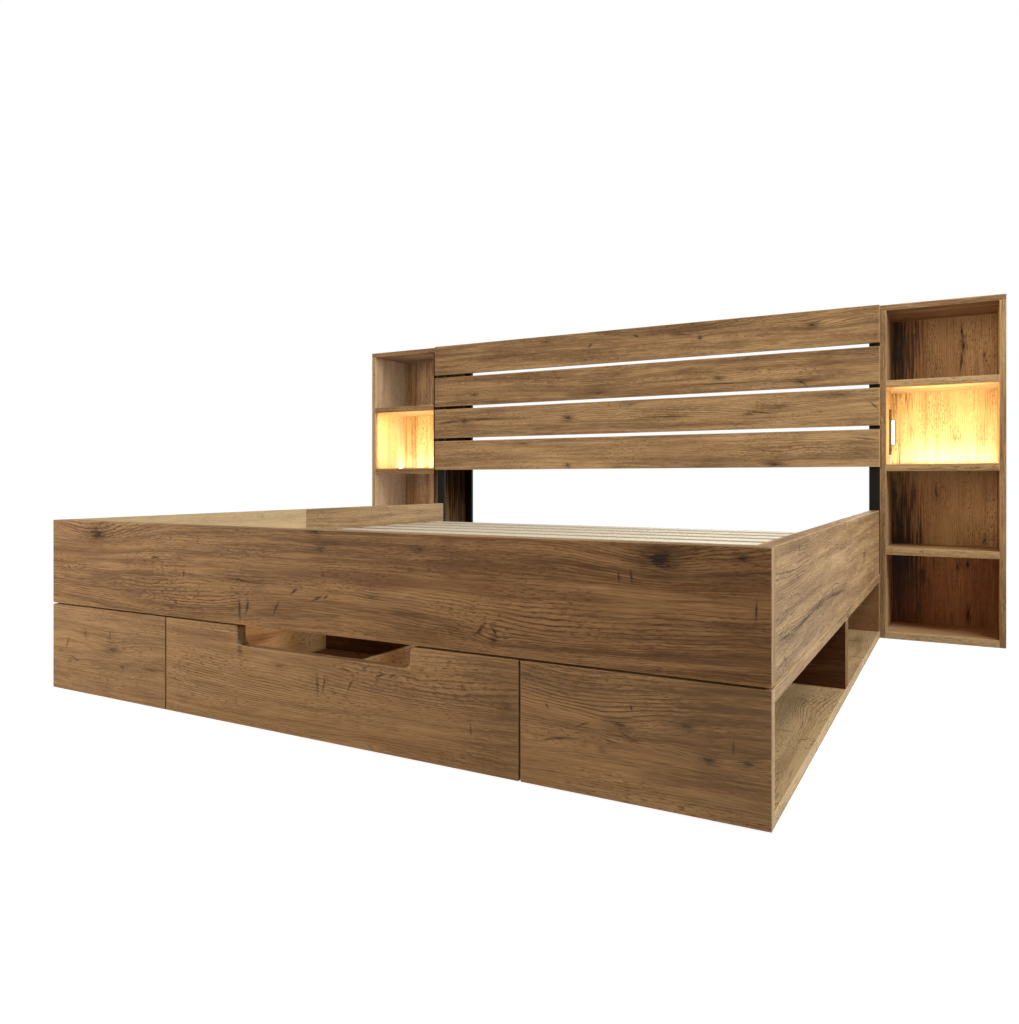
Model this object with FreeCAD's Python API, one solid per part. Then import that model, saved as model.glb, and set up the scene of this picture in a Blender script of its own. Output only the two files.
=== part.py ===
import FreeCAD, Part
import math
import os

# Storage bed with a wide drawer at the foot, open niches along both sides, a planked headboard on
# steel posts and a shelf tower at each side of the headboard. All sizes are in millimetres.
# The origin is on the floor under the centre of the whole outline. +X is to the right for someone
# who stands at the foot end and looks at the headboard, +Y runs towards the headboard, +Z is up.

# Whole bed
bed_width = 1870.0
bed_length = 2040.0
glide_height = 3.0
glide_diameter = 16.0
glide_inset = 40.0
edge_rounding = 1.0

# Upper frame: foot board, side boards in two halves, head rail
upper_board_thickness = 32.0
foot_board_height = 227.0
shadow_gap = 4.0
side_board_setback = 2.0

# Lower row: fixed front panels, side boxes with open niches
lower_board_thickness = 25.0
lower_row_height = 229.0
side_box_width = 448.0
inner_wall_thickness = 16.0

# Slatted base
mattress_recess = 83.0
slat_count = 12
slat_width = 100.0
slat_thickness = 20.0
slat_end_margin = 20.0
slat_side_gap = 4.0
ledge_width = 30.0
ledge_height = 30.0
beam_width = 40.0
beam_height = 40.0
beam_wall = 2.0
hanger_sheet = 3.0
hanger_length = 50.0
leg_diameter = 32.0
leg_wall = 1.5
leg_foot_diameter = 45.0
leg_foot_height = 6.0
leg_place_shares = (0.45, 0.75)

# Drawer
front_side_gap = 4.0
notch_width = 478.0
notch_depth = 45.0
notch_corner_radius = 18.0
notch_lip_radius = 9.0
drawer_body_depth = 590.0
drawer_body_lift = 37.0
drawer_side_height = 143.0
drawer_board_thickness = 12.0
drawer_bottom_thickness = 6.0
drawer_bottom_lift = 10.0
drawer_groove_depth = 6.0
drawer_divider_height = 95.0

# Telescopic runners: three nested channels on each side of the drawer
runner_width = 12.7
runner_height = 45.0
runner_length = 500.0
runner_sheet = 1.2
runner_play = 0.4
runner_front_gap = 5.0
runner_lift = 49.0

# Headboard
plank_count = 4
plank_height = 135.0
plank_gap = 14.0
plank_thickness = 22.0
post_width = 35.0
post_depth = 20.0
post_wall = 1.5
post_drop = 12.0
post_plug_height = 3.0
tie_height = 20.0
tie_place_shares = (0.08, 0.93)

# Bolts that hold the planks and the towers to the posts
bolt_diameter = 6.0
bolt_clearance = 0.4
bolt_head_diameter = 11.0
bolt_head_height = 3.5
bolt_bite = 15.0
plank_bolt_shares = (0.25, 0.75)
tower_bolt_shares = (0.25, 0.84)

# Shelf towers
tower_width = 380.0
tower_depth = 290.0
tower_side_thickness = 20.0
tower_top_thickness = 20.0
tower_shelf_thickness = 25.0
tower_back_thickness = 16.0
tower_height = 1200.0
compartment_height = 276.0
lit_shelf_number = 2
shelf_numbers = (1, 2, 3)

# Light strip sunk into the shelf under the lit compartment
strip_width = 17.0
strip_depth = 8.0
strip_wall = 1.0
strip_lens_thickness = 3.0
strip_setback = 35.0

# Upright reading light on the wall of the right tower's lit compartment
lamp_plate_thickness = 6.0
lamp_plate_depth = 40.0
lamp_plate_height = 170.0
lamp_plate_lift = 37.0
lamp_setback = 140.0
lamp_rounding = 2.0
lamp_bar_thickness = 14.0
lamp_bar_depth = 28.0
lamp_bar_height = 95.0
lamp_bar_lift = 36.0
lamp_lens_depth = 8.0

# Heights that follow from the sizes above
board_base = glide_height
lower_row_top = board_base + lower_row_height
box_floor_top = board_base + lower_board_thickness
deck_base = lower_row_top - lower_board_thickness
foot_board_base = lower_row_top + shadow_gap
rim_top = foot_board_base + foot_board_height
slat_top = rim_top - mattress_recess
slat_base = slat_top - slat_thickness
beam_base = slat_base - beam_height
tower_top = board_base + tower_height
post_top = tower_top - post_drop

# Places along the bed that follow from the sizes above
whole_depth = bed_length + tower_depth
foot_face = -whole_depth / 2
foot_board_back = foot_face + upper_board_thickness
panel_back = foot_face + lower_board_thickness
head_end = foot_face + bed_length
head_rail_front = head_end - upper_board_thickness
upper_joint = (foot_board_back + head_end) / 2
box_joint = (panel_back + head_end) / 2
back_face = head_end + tower_depth

# Distances from the middle of the bed out to each side
half_width = bed_width / 2
box_inner = half_width - side_box_width
niche_inner = box_inner + inner_wall_thickness
side_board_outer = half_width - side_board_setback
side_board_inner = side_board_outer - upper_board_thickness
drawer_outer = box_inner - runner_width
drawer_inner = drawer_outer - drawer_board_thickness
post_inner = half_width - post_width
tower_outer = half_width + tower_width

sides = {"left": -1, "right": 1}


def block(low, high):
    """A plain block between its lowest and its highest corner."""
    size = [top - bottom for bottom, top in zip(low, high)]
    return Part.makeBox(size[0], size[1], size[2], FreeCAD.Vector(*low))


def eased(solid, radius=edge_rounding):
    """The solid with all its edges rounded."""
    return solid.makeFillet(radius, solid.Edges)


def board(low, high):
    """A board with the small round that edge banding leaves on its edges."""
    return eased(block(low, high))


def side_block(side, inner, outer, y_low, y_high, z_low, z_high):
    """A block at one side of the bed, between two distances from the middle."""
    x_low, x_high = sorted((sides[side] * inner, sides[side] * outer))
    return block((x_low, y_low, z_low), (x_high, y_high, z_high))


def side_piece(side, inner, outer, y_low, y_high, z_low, z_high):
    """A board at one side of the bed, between two distances from the middle."""
    return eased(side_block(side, inner, outer, y_low, y_high, z_low, z_high))


def disc(x, y, z_low, diameter, height):
    """An upright round piece that stands on z_low."""
    return Part.makeCylinder(diameter / 2, height, FreeCAD.Vector(x, y, z_low))


def rounded_outline(corners):
    """A closed wire in the XZ plane through (x, z, radius) corners, each rounded by its radius."""
    points = [FreeCAD.Vector(x, 0, z) for x, z, radius in corners]
    joins = []
    for number, (x, z, radius) in enumerate(corners):
        here = points[number]
        to_last = (points[number - 1] - here).normalize()
        to_next = (points[(number + 1) % len(points)] - here).normalize()
        half_angle = to_last.getAngle(to_next) / 2
        reach = radius / math.tan(half_angle)
        middle = (to_last + to_next).normalize() * (radius / math.sin(half_angle) - radius)
        joins.append((here + to_last * reach, here + middle, here + to_next * reach, radius))
    edges = []
    for number, (start, middle, end, radius) in enumerate(joins):
        if radius > 0:
            edges.append(Part.Arc(start, middle, end).toShape())
        following = joins[(number + 1) % len(joins)][0]
        edges.append(Part.LineSegment(end, following).toShape())
    return Part.Wire(edges)


def bolt(head_seat, direction, length):
    """A round-headed bolt whose head lies on head_seat and whose shank runs along direction."""
    shank = Part.makeCylinder(bolt_diameter / 2, length, head_seat, direction)
    head = Part.makeCylinder(bolt_head_diameter / 2, bolt_head_height, head_seat, direction * -1)
    return shank.fuse(head).removeSplitter()


def bolt_hole(head_seat, direction, length):
    """The clear hole that a bolt of this length needs, open at the head and at the tip."""
    radius = (bolt_diameter + bolt_clearance) / 2
    start = head_seat - direction * bolt_clearance
    return Part.makeCylinder(radius, length + 2 * bolt_clearance, start, direction)


def tube(low, high, wall, axis):
    """A rectangular tube that is open at both ends along axis (0 for X, 1 for Y, 2 for Z)."""
    inner_low = [value + (0 if number == axis else wall) for number, value in enumerate(low)]
    inner_high = [value - (0 if number == axis else wall) for number, value in enumerate(high)]
    return block(low, high).cut(block(inner_low, inner_high))


def keep(name, *solids):
    """Write one node, which is one solid or a group of separate solids."""
    shape = solids[0] if len(solids) == 1 else Part.makeCompound(list(solids))
    shape.exportStep(f"parts/{name}.step")


def plank_heights():
    """Lowest and highest level of each headboard plank, from the top one down."""
    pitch = plank_height + plank_gap
    tops = [tower_top - number * pitch for number in range(plank_count)]
    return [(top - plank_height, top) for top in tops]


def plank_bolts():
    """Head seat, direction and length of the bolts that reach through the front posts."""
    length = post_depth + bolt_bite
    seat_y = head_end + post_depth
    places = []
    for sign in sides.values():
        for base, top in plank_heights():
            for share in plank_bolt_shares:
                x = sign * (post_inner + post_width / 2)
                seat = FreeCAD.Vector(x, seat_y, base + share * plank_height)
                places.append((seat, FreeCAD.Vector(0, -1, 0), length))
    return places


def tower_bolts():
    """Head seat, direction and length of the bolts that reach through all posts into the towers."""
    length = post_width + bolt_bite
    places = []
    for sign in sides.values():
        for y in (head_end + post_depth / 2, back_face - post_depth / 2):
            for share in tower_bolt_shares:
                seat = FreeCAD.Vector(sign * post_inner, y, board_base + share * tower_height)
                places.append((seat, FreeCAD.Vector(sign, 0, 0), length))
    return places


def drilled(solid):
    """The solid with the holes of every bolt that meets it."""
    for place in plank_bolts() + tower_bolts():
        hole = bolt_hole(*place)
        if hole.BoundBox.intersect(solid.BoundBox):
            solid = solid.cut(hole)
    return solid


def make_upper_frame():
    """Foot board, the two halves of each side board and the head rail."""
    foot_low = (-half_width, foot_face, foot_board_base)
    keep("foot_board", board(foot_low, (half_width, foot_board_back, rim_top)))
    halves = {"front": (foot_board_back, upper_joint), "rear": (upper_joint, head_end)}
    for side in sides:
        for half, (start, end) in halves.items():
            piece = side_piece(side, side_board_inner, side_board_outer, start, end, lower_row_top, rim_top)
            keep(f"side_board_{side}_{half}", piece)
    rail_low = (-side_board_inner, head_rail_front, lower_row_top)
    keep("head_rail", board(rail_low, (side_board_inner, head_end, slat_base)))


def make_slat_base():
    """Slats on two ledges and a steel centre beam with hangers, legs and leg feet."""
    first = foot_board_back + slat_end_margin
    last = head_rail_front - slat_end_margin - slat_width
    pitch = (last - first) / (slat_count - 1)
    slat_reach = side_board_inner - slat_side_gap
    slats = []
    for number in range(slat_count):
        start = first + number * pitch
        low = (-slat_reach, start, slat_base)
        slats.append(board(low, (slat_reach, start + slat_width, slat_top)))
    keep("slats", *slats)

    ledge_inner = side_board_inner - ledge_width
    ledge_base = slat_base - ledge_height
    ledges = []
    for side in sides:
        reach = (ledge_inner, side_board_inner, foot_board_back, head_rail_front, ledge_base, slat_base)
        ledges.append(side_piece(side, *reach))
    keep("slat_ledges", *ledges)

    beam_half = beam_width / 2
    beam_start = foot_board_back + hanger_sheet
    beam_end = head_rail_front - hanger_sheet
    beam_low = (-beam_half, beam_start, beam_base)
    keep("centre_beam", tube(beam_low, (beam_half, beam_end, slat_base), beam_wall, 1))

    hanger_half = beam_half + hanger_sheet
    beam_space = block(beam_low, (beam_half, beam_end, slat_base))
    ends = ((foot_board_back, foot_board_back + hanger_length), (head_rail_front - hanger_length, head_rail_front))
    hangers = []
    for start, end in ends:
        cheeks = block((-hanger_half, start, beam_base - hanger_sheet), (hanger_half, end, slat_base))
        hangers.append(cheeks.cut(beam_space))
    keep("beam_hangers", *hangers)

    legs = []
    feet = []
    for share in leg_place_shares:
        y = foot_face + share * bed_length
        leg_height = beam_base - leg_foot_height
        outside = disc(0, y, leg_foot_height, leg_diameter, leg_height)
        legs.append(outside.cut(disc(0, y, leg_foot_height, leg_diameter - 2 * leg_wall, leg_height)))
        feet.append(eased(disc(0, y, 0, leg_foot_diameter, leg_foot_height)))
    keep("centre_legs", *legs)
    keep("centre_leg_feet", *feet)


def make_side_boxes():
    """Fixed front panels and the two open boxes behind each other along each side."""
    backs = []
    for side in sides:
        outer = half_width
        panel = side_piece(side, box_inner, outer, foot_face, panel_back, board_base, lower_row_top)
        keep(f"front_panel_{side}", panel)
        lengths = ((panel_back, box_joint), (box_joint, head_end))
        decks = []
        floors = []
        walls = []
        dividers = []
        for (start, end), away in zip(lengths, (-1, 1)):
            decks.append(side_piece(side, box_inner, outer, start, end, deck_base, lower_row_top))
            floors.append(side_piece(side, box_inner, outer, start, end, board_base, box_floor_top))
            walls.append(side_piece(side, box_inner, niche_inner, start, end, box_floor_top, deck_base))
            y_low, y_high = sorted((box_joint, box_joint + away * lower_board_thickness))
            dividers.append(side_piece(side, niche_inner, outer, y_low, y_high, box_floor_top, deck_base))
        keep(f"box_decks_{side}", *decks)
        keep(f"box_floors_{side}", *floors)
        keep(f"box_inner_walls_{side}", *walls)
        keep(f"box_dividers_{side}", *dividers)
        back_start = head_end - lower_board_thickness
        backs.append(side_piece(side, niche_inner, outer, back_start, head_end, box_floor_top, deck_base))
    keep("box_backs", *backs)


def make_drawer():
    """Drawer front with its finger notch, and the drawer body behind it."""
    front_half = box_inner - front_side_gap
    notch_half = notch_width / 2
    notch_base = lower_row_top - notch_depth
    corners = [
        (-front_half, board_base, 0),
        (front_half, board_base, 0),
        (front_half, lower_row_top, 0),
        (notch_half, lower_row_top, notch_lip_radius),
        (notch_half, notch_base, notch_corner_radius),
        (-notch_half, notch_base, notch_corner_radius),
        (-notch_half, lower_row_top, notch_lip_radius),
        (-front_half, lower_row_top, 0),
    ]
    outline = rounded_outline(corners)
    outline.translate(FreeCAD.Vector(0, foot_face, 0))
    face = Part.Face(outline)
    front = face.extrude(FreeCAD.Vector(0, lower_board_thickness, 0))
    keep("drawer_front", eased(front))

    body_base = board_base + drawer_body_lift
    body_top = body_base + drawer_side_height
    body_end = panel_back + drawer_body_depth
    bottom_base = body_base + drawer_bottom_lift
    bottom_top = bottom_base + drawer_bottom_thickness
    bottom_reach = drawer_inner + drawer_groove_depth
    back_front = body_end - drawer_board_thickness
    bottom = block((-bottom_reach, panel_back, bottom_base), (bottom_reach, body_end, bottom_top))
    keep("drawer_bottom", bottom)
    for side in sides:
        piece = side_piece(side, drawer_inner, drawer_outer, panel_back, body_end, body_base, body_top)
        keep(f"drawer_side_{side}", piece.cut(bottom))
    back = board((-drawer_inner, back_front, bottom_top), (drawer_inner, body_end, body_top))
    keep("drawer_back", back)
    divider_half = drawer_board_thickness / 2
    divider_low = (-divider_half, panel_back, bottom_top)
    divider_high = (divider_half, back_front, bottom_top + drawer_divider_height)
    keep("drawer_divider", board(divider_low, divider_high))


def make_runners():
    """Fixed, middle and drawer channels, nested with a little play between them."""
    base = board_base + runner_lift
    top = base + runner_height
    start = panel_back + runner_front_gap
    end = start + runner_length
    step = runner_sheet + runner_play
    mouth = drawer_outer + step
    fixed = []
    drawer_members = []
    for side in sides:
        outside = side_block(side, mouth, box_inner, start, end, base, top)
        web = box_inner - runner_sheet
        inside = side_block(side, mouth, web, start, end, base + runner_sheet, top - runner_sheet)
        fixed.append(outside.cut(inside))

        middle_outer = web - runner_play
        middle_low = base + step
        middle_top = top - step
        outside = side_block(side, mouth, middle_outer, start, end, middle_low, middle_top)
        web = middle_outer - runner_sheet
        inside_levels = (middle_low + runner_sheet, middle_top - runner_sheet)
        inside = side_block(side, mouth, web, start, end, *inside_levels)
        keep(f"runner_middle_{side}", outside.cut(inside))

        drawer_low = middle_low + step
        drawer_top = middle_top - step
        reach = web - runner_play
        outside = side_block(side, drawer_outer, reach, start, end, drawer_low, drawer_top)
        web = drawer_outer + runner_sheet
        inside_levels = (drawer_low + runner_sheet, drawer_top - runner_sheet)
        inside = side_block(side, web, reach, start, end, *inside_levels)
        drawer_members.append(outside.cut(inside))
    keep("runners_fixed", *fixed)
    keep("runners_drawer", *drawer_members)


def make_headboard():
    """Planks in front of the front posts, rear posts against the wall, ties between them."""
    plank_front = head_end - plank_thickness
    for number, (base, top) in enumerate(plank_heights(), start=1):
        plank = board((-half_width, plank_front, base), (half_width, head_end, top))
        keep(f"headboard_plank_{number}", drilled(plank))

    rear_start = back_face - post_depth
    posts = []
    plugs = []
    ties = []
    for sign in sides.values():
        x_low, x_high = sorted((sign * post_inner, sign * half_width))
        for start in (head_end, rear_start):
            end = start + post_depth
            post = tube((x_low, start, board_base), (x_high, end, post_top), post_wall, 2)
            posts.append(drilled(post))
            plugs.append(board((x_low, start, post_top), (x_high, end, post_top + post_plug_height)))
        for share in tie_place_shares:
            base = board_base + share * tower_height
            low = (x_low, head_end + post_depth, base)
            ties.append(tube(low, (x_high, rear_start, base + tie_height), post_wall, 1))
    keep("headboard_posts", *posts)
    keep("post_plugs", *plugs)
    keep("post_ties", *ties)
    keep("frame_bolts", *[bolt(*place) for place in plank_bolts() + tower_bolts()])


def shelf_level(number):
    """Underside of a shelf, counted from 1 at the bottom."""
    pitch = compartment_height + tower_shelf_thickness
    return board_base + number * pitch


def make_towers():
    """The boards of both shelf towers, each with one lit compartment."""
    inner_wall = half_width + tower_side_thickness
    outer_wall = tower_outer - tower_side_thickness
    back_front = back_face - tower_back_thickness
    side_top = tower_top - tower_top_thickness
    bottom_top = board_base + tower_shelf_thickness
    strip_end = back_front - strip_setback
    strip_start = strip_end - strip_width
    strips = []
    lenses = []
    for side in sides:
        name = f"tower_{side}"
        rows = {
            "inner_side": (half_width, inner_wall, head_end, back_face, board_base, side_top),
            "outer_side": (outer_wall, tower_outer, head_end, back_face, board_base, side_top),
            "top": (half_width, tower_outer, head_end, back_face, side_top, tower_top),
            "bottom": (inner_wall, outer_wall, head_end, back_front, board_base, bottom_top),
            "back": (inner_wall, outer_wall, back_front, back_face, board_base, side_top),
        }
        for row, reach in rows.items():
            keep(f"{name}_{row}", drilled(side_piece(side, *reach)))

        plain_shelves = []
        for number in shelf_numbers:
            base = shelf_level(number)
            top = base + tower_shelf_thickness
            shelf = side_piece(side, inner_wall, outer_wall, head_end, back_front, base, top)
            if number != lit_shelf_number:
                plain_shelves.append(shelf)
                continue
            groove = (inner_wall, outer_wall, strip_start, strip_end, top - strip_depth, top)
            keep(f"{name}_lit_shelf", shelf.cut(side_block(side, *groove)))
            lens_edges = (strip_start + strip_wall, strip_end - strip_wall)
            hollow = side_block(side, inner_wall, outer_wall, *lens_edges, top - strip_depth + strip_wall, top)
            strips.append(side_block(side, *groove).cut(hollow))
            lens_base = top - strip_lens_thickness
            lenses.append(side_block(side, inner_wall, outer_wall, *lens_edges, lens_base, top))
        keep(f"{name}_shelves", *plain_shelves)
    keep("light_strips", *strips)
    keep("light_strip_lenses", *lenses)


def make_reading_light():
    """Upright light on the inner wall of the right tower's lit compartment."""
    wall = half_width + tower_side_thickness
    front = head_end + lamp_setback
    base = shelf_level(lit_shelf_number) + tower_shelf_thickness + lamp_plate_lift
    plate_face = wall + lamp_plate_thickness
    plate_high = (plate_face, front + lamp_plate_depth, base + lamp_plate_height)
    plate = eased(block((wall, front, base), plate_high), lamp_rounding)
    bar_base = base + lamp_bar_lift
    bar_top = bar_base + lamp_bar_height
    bar_face = plate_face + lamp_bar_thickness
    bar_front = front + (lamp_plate_depth - lamp_bar_depth) / 2
    lens_back = bar_front + lamp_lens_depth
    housing = block((plate_face, lens_back, bar_base), (bar_face, bar_front + lamp_bar_depth, bar_top))
    keep("reading_light_body", plate.fuse(housing).removeSplitter())
    lens = board((plate_face, bar_front, bar_base), (bar_face, lens_back, bar_top))
    keep("reading_light_lens", lens)


def make_glides():
    """Round plastic glides under the side boxes, the towers and the posts."""
    places = []
    for sign in sides.values():
        for start, end in ((panel_back, box_joint), (box_joint, head_end)):
            for x in (box_inner + glide_inset, half_width - glide_inset):
                places += [(sign * x, start + glide_inset), (sign * x, end - glide_inset)]
        half_side = tower_side_thickness / 2
        for x in (half_width + half_side, tower_outer - half_side):
            places += [(sign * x, head_end + glide_inset), (sign * x, back_face - glide_inset)]
        post_x = half_width - post_width / 2
        for y in (head_end + post_depth / 2, back_face - post_depth / 2):
            places.append((sign * post_x, y))
    keep("glides", *[disc(x, y, 0, glide_diameter, glide_height) for x, y in places])


os.makedirs("parts", exist_ok=True)
make_upper_frame()
make_slat_base()
make_side_boxes()
make_drawer()
make_runners()
make_headboard()
make_towers()
make_reading_light()
make_glides()
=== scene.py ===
import math

import bmesh
import bpy
from mathutils import Matrix, Vector


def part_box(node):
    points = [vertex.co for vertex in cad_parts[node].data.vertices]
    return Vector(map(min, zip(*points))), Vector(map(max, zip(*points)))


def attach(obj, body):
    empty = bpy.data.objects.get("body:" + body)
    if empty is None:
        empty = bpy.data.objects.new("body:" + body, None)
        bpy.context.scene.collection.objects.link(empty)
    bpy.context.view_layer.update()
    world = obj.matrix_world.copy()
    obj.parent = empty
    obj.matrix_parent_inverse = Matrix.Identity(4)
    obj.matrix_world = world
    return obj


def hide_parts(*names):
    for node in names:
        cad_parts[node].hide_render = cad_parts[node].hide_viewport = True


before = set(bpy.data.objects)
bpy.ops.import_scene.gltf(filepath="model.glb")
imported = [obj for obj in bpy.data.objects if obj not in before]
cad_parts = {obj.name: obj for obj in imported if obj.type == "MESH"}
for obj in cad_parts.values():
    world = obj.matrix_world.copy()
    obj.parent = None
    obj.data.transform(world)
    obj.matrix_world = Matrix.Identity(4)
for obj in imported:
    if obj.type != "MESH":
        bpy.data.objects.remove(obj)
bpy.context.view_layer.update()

bl_info = {
    "name": "Storage Bed Finish",
    "version": (1, 0, 0),
    "blender": (4, 5, 0),
    "location": "View3D > Sidebar > Bed",
    "description": "Dresses a storage bed with lit shelf towers in oak laminate, steel and warm light",
    "category": "Object",
}

MM = 0.001
EDGE_SLACK = 0.05 * MM  # how far off a corner may lie and still count as on a face
FACING = 0.9  # share of a face's normal along an axis from which on the face looks that way
PLUG_ROUNDING = 1.2 * MM
SLAT_PITCH = 166.9 * MM


def hex_colour(text):
    """Linear red, green, blue and alpha of an sRGB hex colour."""
    channels = [int(text[place:place + 2], 16) / 255 for place in (0, 2, 4)]
    linear = [value / 12.92 if value <= 0.04045 else ((value + 0.055) / 1.055) ** 2.4 for value in channels]
    return (*linear, 1.0)


# Sizes and colours that a user may change


def colour_property(name, description, text):
    """A colour picker whose default is an sRGB hex colour."""
    return bpy.props.FloatVectorProperty(
        name=name, description=description, subtype="COLOR", size=4, min=0, max=1, default=hex_colour(text))


def length_property(name, description, millimetres):
    """A length in metres whose default is given in millimetres."""
    return bpy.props.FloatProperty(name=name, description=description, unit="LENGTH",
                                   default=millimetres * MM)


class OakSettings(bpy.types.PropertyGroup):
    light: colour_property("Light wood", "Palest streaks of the oak decor", "bfa17a")
    pale: colour_property("Pale wood", "Pale bands of the oak decor", "b08e67")
    middle: colour_property("Middle wood", "Most of the oak decor", "9c7d5a")
    brown: colour_property("Brown wood", "Brown bands of the oak decor", "866748")
    dark: colour_property("Dark wood", "Darkest bands of the oak decor", "6b5037")
    heart: colour_property("Heartwood", "Reddish bands of the oak decor", "7f5a3c")
    ring: colour_property("Rings", "Lines of the growth rings and the pores", "553d28")
    # painted light: the greyish pale tone that some boards are mixed towards, to look more brightly lit
    painted_light_and_shade: colour_property("Faded wood", "Greyish pale tone of the boards that face the light", "d9c3a0")
    shaded: colour_property("Shaded wood", "Boards in deep shade, reddened by the boards round them",
                            "4a2713")
    knot: colour_property("Knots", "Knots and dry cracks", "2e1f14")
    # painted highlight: the paler colour laid along the rounded corners of every edge band
    band: colour_property("Edge band", "Rounded corners of the edge banding", "cfae82")
    ring_spacing: length_property("Ring spacing", "Distance between two growth rings", 5.5)
    fibre_width: length_property("Fibre width", "Width of one fibre streak", 2.2)
    roughness: bpy.props.FloatProperty(
        name="Roughness", description="Roughness of the laminate", subtype="FACTOR", min=0, max=1,
        default=0.5)


class MetalSettings(bpy.types.PropertyGroup):
    coat: colour_property("Powder coat", "Colour of the posts", "0f0f0f")
    zinc: colour_property("Zinc", "Colour of the zinc plated steel", "b9bbbd")
    oxide: colour_property("Black oxide", "Colour of the bolts", "323233")
    bronze: colour_property("Bronze", "Colour of the reading light's body", "3a2c1c")
    tube_corner: length_property("Tube corner", "Outer corner radius of the steel tubes", 2)
    tube_wall: length_property("Tube wall", "Wall of the steel tubes", 1.5)
    head_height: length_property("Bolt head height", "Height of the rounded bolt heads", 3.5)
    shank_radius: length_property("Bolt shank radius", "Radius of the bolts under the head", 3)
    socket_radius: length_property("Bolt socket radius", "Radius of the hexagon socket at its corners", 2.3)
    tip: length_property("Bolt tip", "Tapered end of the bolts", 1.5)


class LightSettings(bpy.types.PropertyGroup):
    glow: colour_property("Glow", "Colour of the warm light", "fff0dc")
    strip_power: bpy.props.FloatProperty(
        name="Strip strength", description="Emission of the light strips", min=0, default=70)
    lamp_power: bpy.props.FloatProperty(
        name="Lamp strength", description="Emission of the reading light", min=0, default=1.4)
    plate_corner: length_property("Plate corner", "Corner radius of the reading light's wall plate", 5)
    bar_width: length_property("Bar width", "Width of the reading light's bar behind its lit strip", 20)
    bar_rim: length_property("Bar rim", "Rim of the bar round the lit strip", 2)
    button_radius: length_property("Button radius", "Radius of the touch button", 6.5)
    button_height: length_property("Button height", "How far the touch button stands out", 1.6)
    button_drop: length_property("Button drop", "Distance of the touch button below the bar", 18)


class SlatSettings(bpy.types.PropertyGroup):
    wood: colour_property("Slat wood", "Planed softwood of the slats", "f3eee6")
    grain: colour_property("Slat grain", "Darker grain of the slats", "e4dccd")
    # painted shade on the slats' upright sides, which face along the bed
    painted_side_shade: colour_property("Sawn sides", "Sides of the slats, sawn and left unplaned", "c8bca3")


class StageSettings(bpy.types.PropertyGroup):
    floor: colour_property("Floor", "Light that the floor throws back", "aeaba6")
    floor_white: bpy.props.FloatProperty(
        name="Floor white", description="White added to the floor where it is looked at", min=0, max=1,
        default=0.9)
    light: bpy.props.FloatProperty(name="Lamps", description="Strength of all the studio lamps", min=0,
                                   default=1)
    sky: bpy.props.FloatProperty(name="Sky", description="Strength of the light from all round", min=0,
                                 default=0.03)


# Node helpers


def set_inputs(tree, node, values):
    """Set or link inputs, by name or else in order. A node as a value means its first output in use."""
    if not isinstance(values, dict):
        in_use = [place for place, socket in enumerate(node.inputs) if socket.enabled]
        values = dict(zip(in_use, values))
    for key, value in values.items():
        if isinstance(value, bpy.types.Node):
            value = next(socket for socket in value.outputs if socket.enabled)
        if isinstance(value, bpy.types.NodeSocket):
            tree.links.new(value, node.inputs[key])
        else:
            node.inputs[key].default_value = value


def add_node(tree, kind, values=(), **settings):
    """Add a shader node, set its properties, and set or link its inputs."""
    made = tree.nodes.new("ShaderNode" + kind)
    for key, value in settings.items():
        setattr(made, key, value)
    set_inputs(tree, made, values)
    return made


def new_group(name, inputs, outputs):
    """An empty shader group with named sockets, what is given to it, and the node that it leaves by."""
    tree = bpy.data.node_groups.new(name, "ShaderNodeTree")
    for label, kind in inputs.items():
        tree.interface.new_socket(name=label, in_out="INPUT", socket_type="NodeSocket" + kind)
    for label, kind in outputs.items():
        tree.interface.new_socket(name=label, in_out="OUTPUT", socket_type="NodeSocket" + kind)
    return tree, tree.nodes.new("NodeGroupInput").outputs, tree.nodes.new("NodeGroupOutput")


def feature(length_mm, width_mm):
    """Scale that makes a noise feature this long along the grain and this wide across it."""
    return (1 / (length_mm * MM), 1 / (width_mm * MM), 1.0)


def new_material(name):
    """A material with its node tree emptied down to the shader and the output."""
    material = bpy.data.materials.new(name)
    material.use_nodes = True
    tree = material.node_tree
    tree.nodes.clear()
    shader = add_node(tree, "BsdfPrincipled")
    add_node(tree, "OutputMaterial", [shader])
    return material, tree, shader


def dress(node_name, material):
    """Give a CAD node or a new piece one material."""
    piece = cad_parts[node_name] if isinstance(node_name, str) else node_name
    piece.data.materials.clear()
    piece.data.materials.append(material)


# Oak decor

AXES = {"x": (1.0, 0.0, 0.0), "y": (0.0, 1.0, 0.0), "z": (0.0, 0.0, 1.0)}
END_FACING = 0.7  # share of a face's normal along the grain from which on it is a board's end
BOARD_SHIFT = 1.37  # metres of decor between one board and the next, so that no two boards match
KNOT_PULL_SHARE = 0.42  # how far a knot pushes the grain aside, as a share of its width
CRACK_WIDENING_SHARE = 1.25  # a crack's soft rim, as a share of its width
CRACK_DEPTH = 0.95

# Marks that are strewn at random, in millimetres along the grain and across it
MARK_CELL = (560, 170)  # stretch of board for each knot and the crack beside it
STREWN_KNOT = (34, 17)
STREWN_PULL = 9  # how far a knot of figure 1 pushes the grain aside
STREWN_CRACK_PLACE = (96, 24)  # from the middle of its knot
STREWN_CRACK = (48, 3.6)
STREWN_BOW = 4.0  # a crack bows by this times the square of the way along it, in metres

# A painted highlight along the rounded corners of every board's edge band: its width and how much it
# lightens
ARRIS_WIDTH = 2.2 * MM
ARRIS_LIGHTENING = 0.6
FRONT_LIGHTENING = 0.3  # on the front boards, whose corners lie in the shade of the narrow joints
LAMINATE_GLOSS = 0.25
FRONT_BOARDS = {"foot_board", "drawer_front", "front_panel_left", "front_panel_right"}

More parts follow.
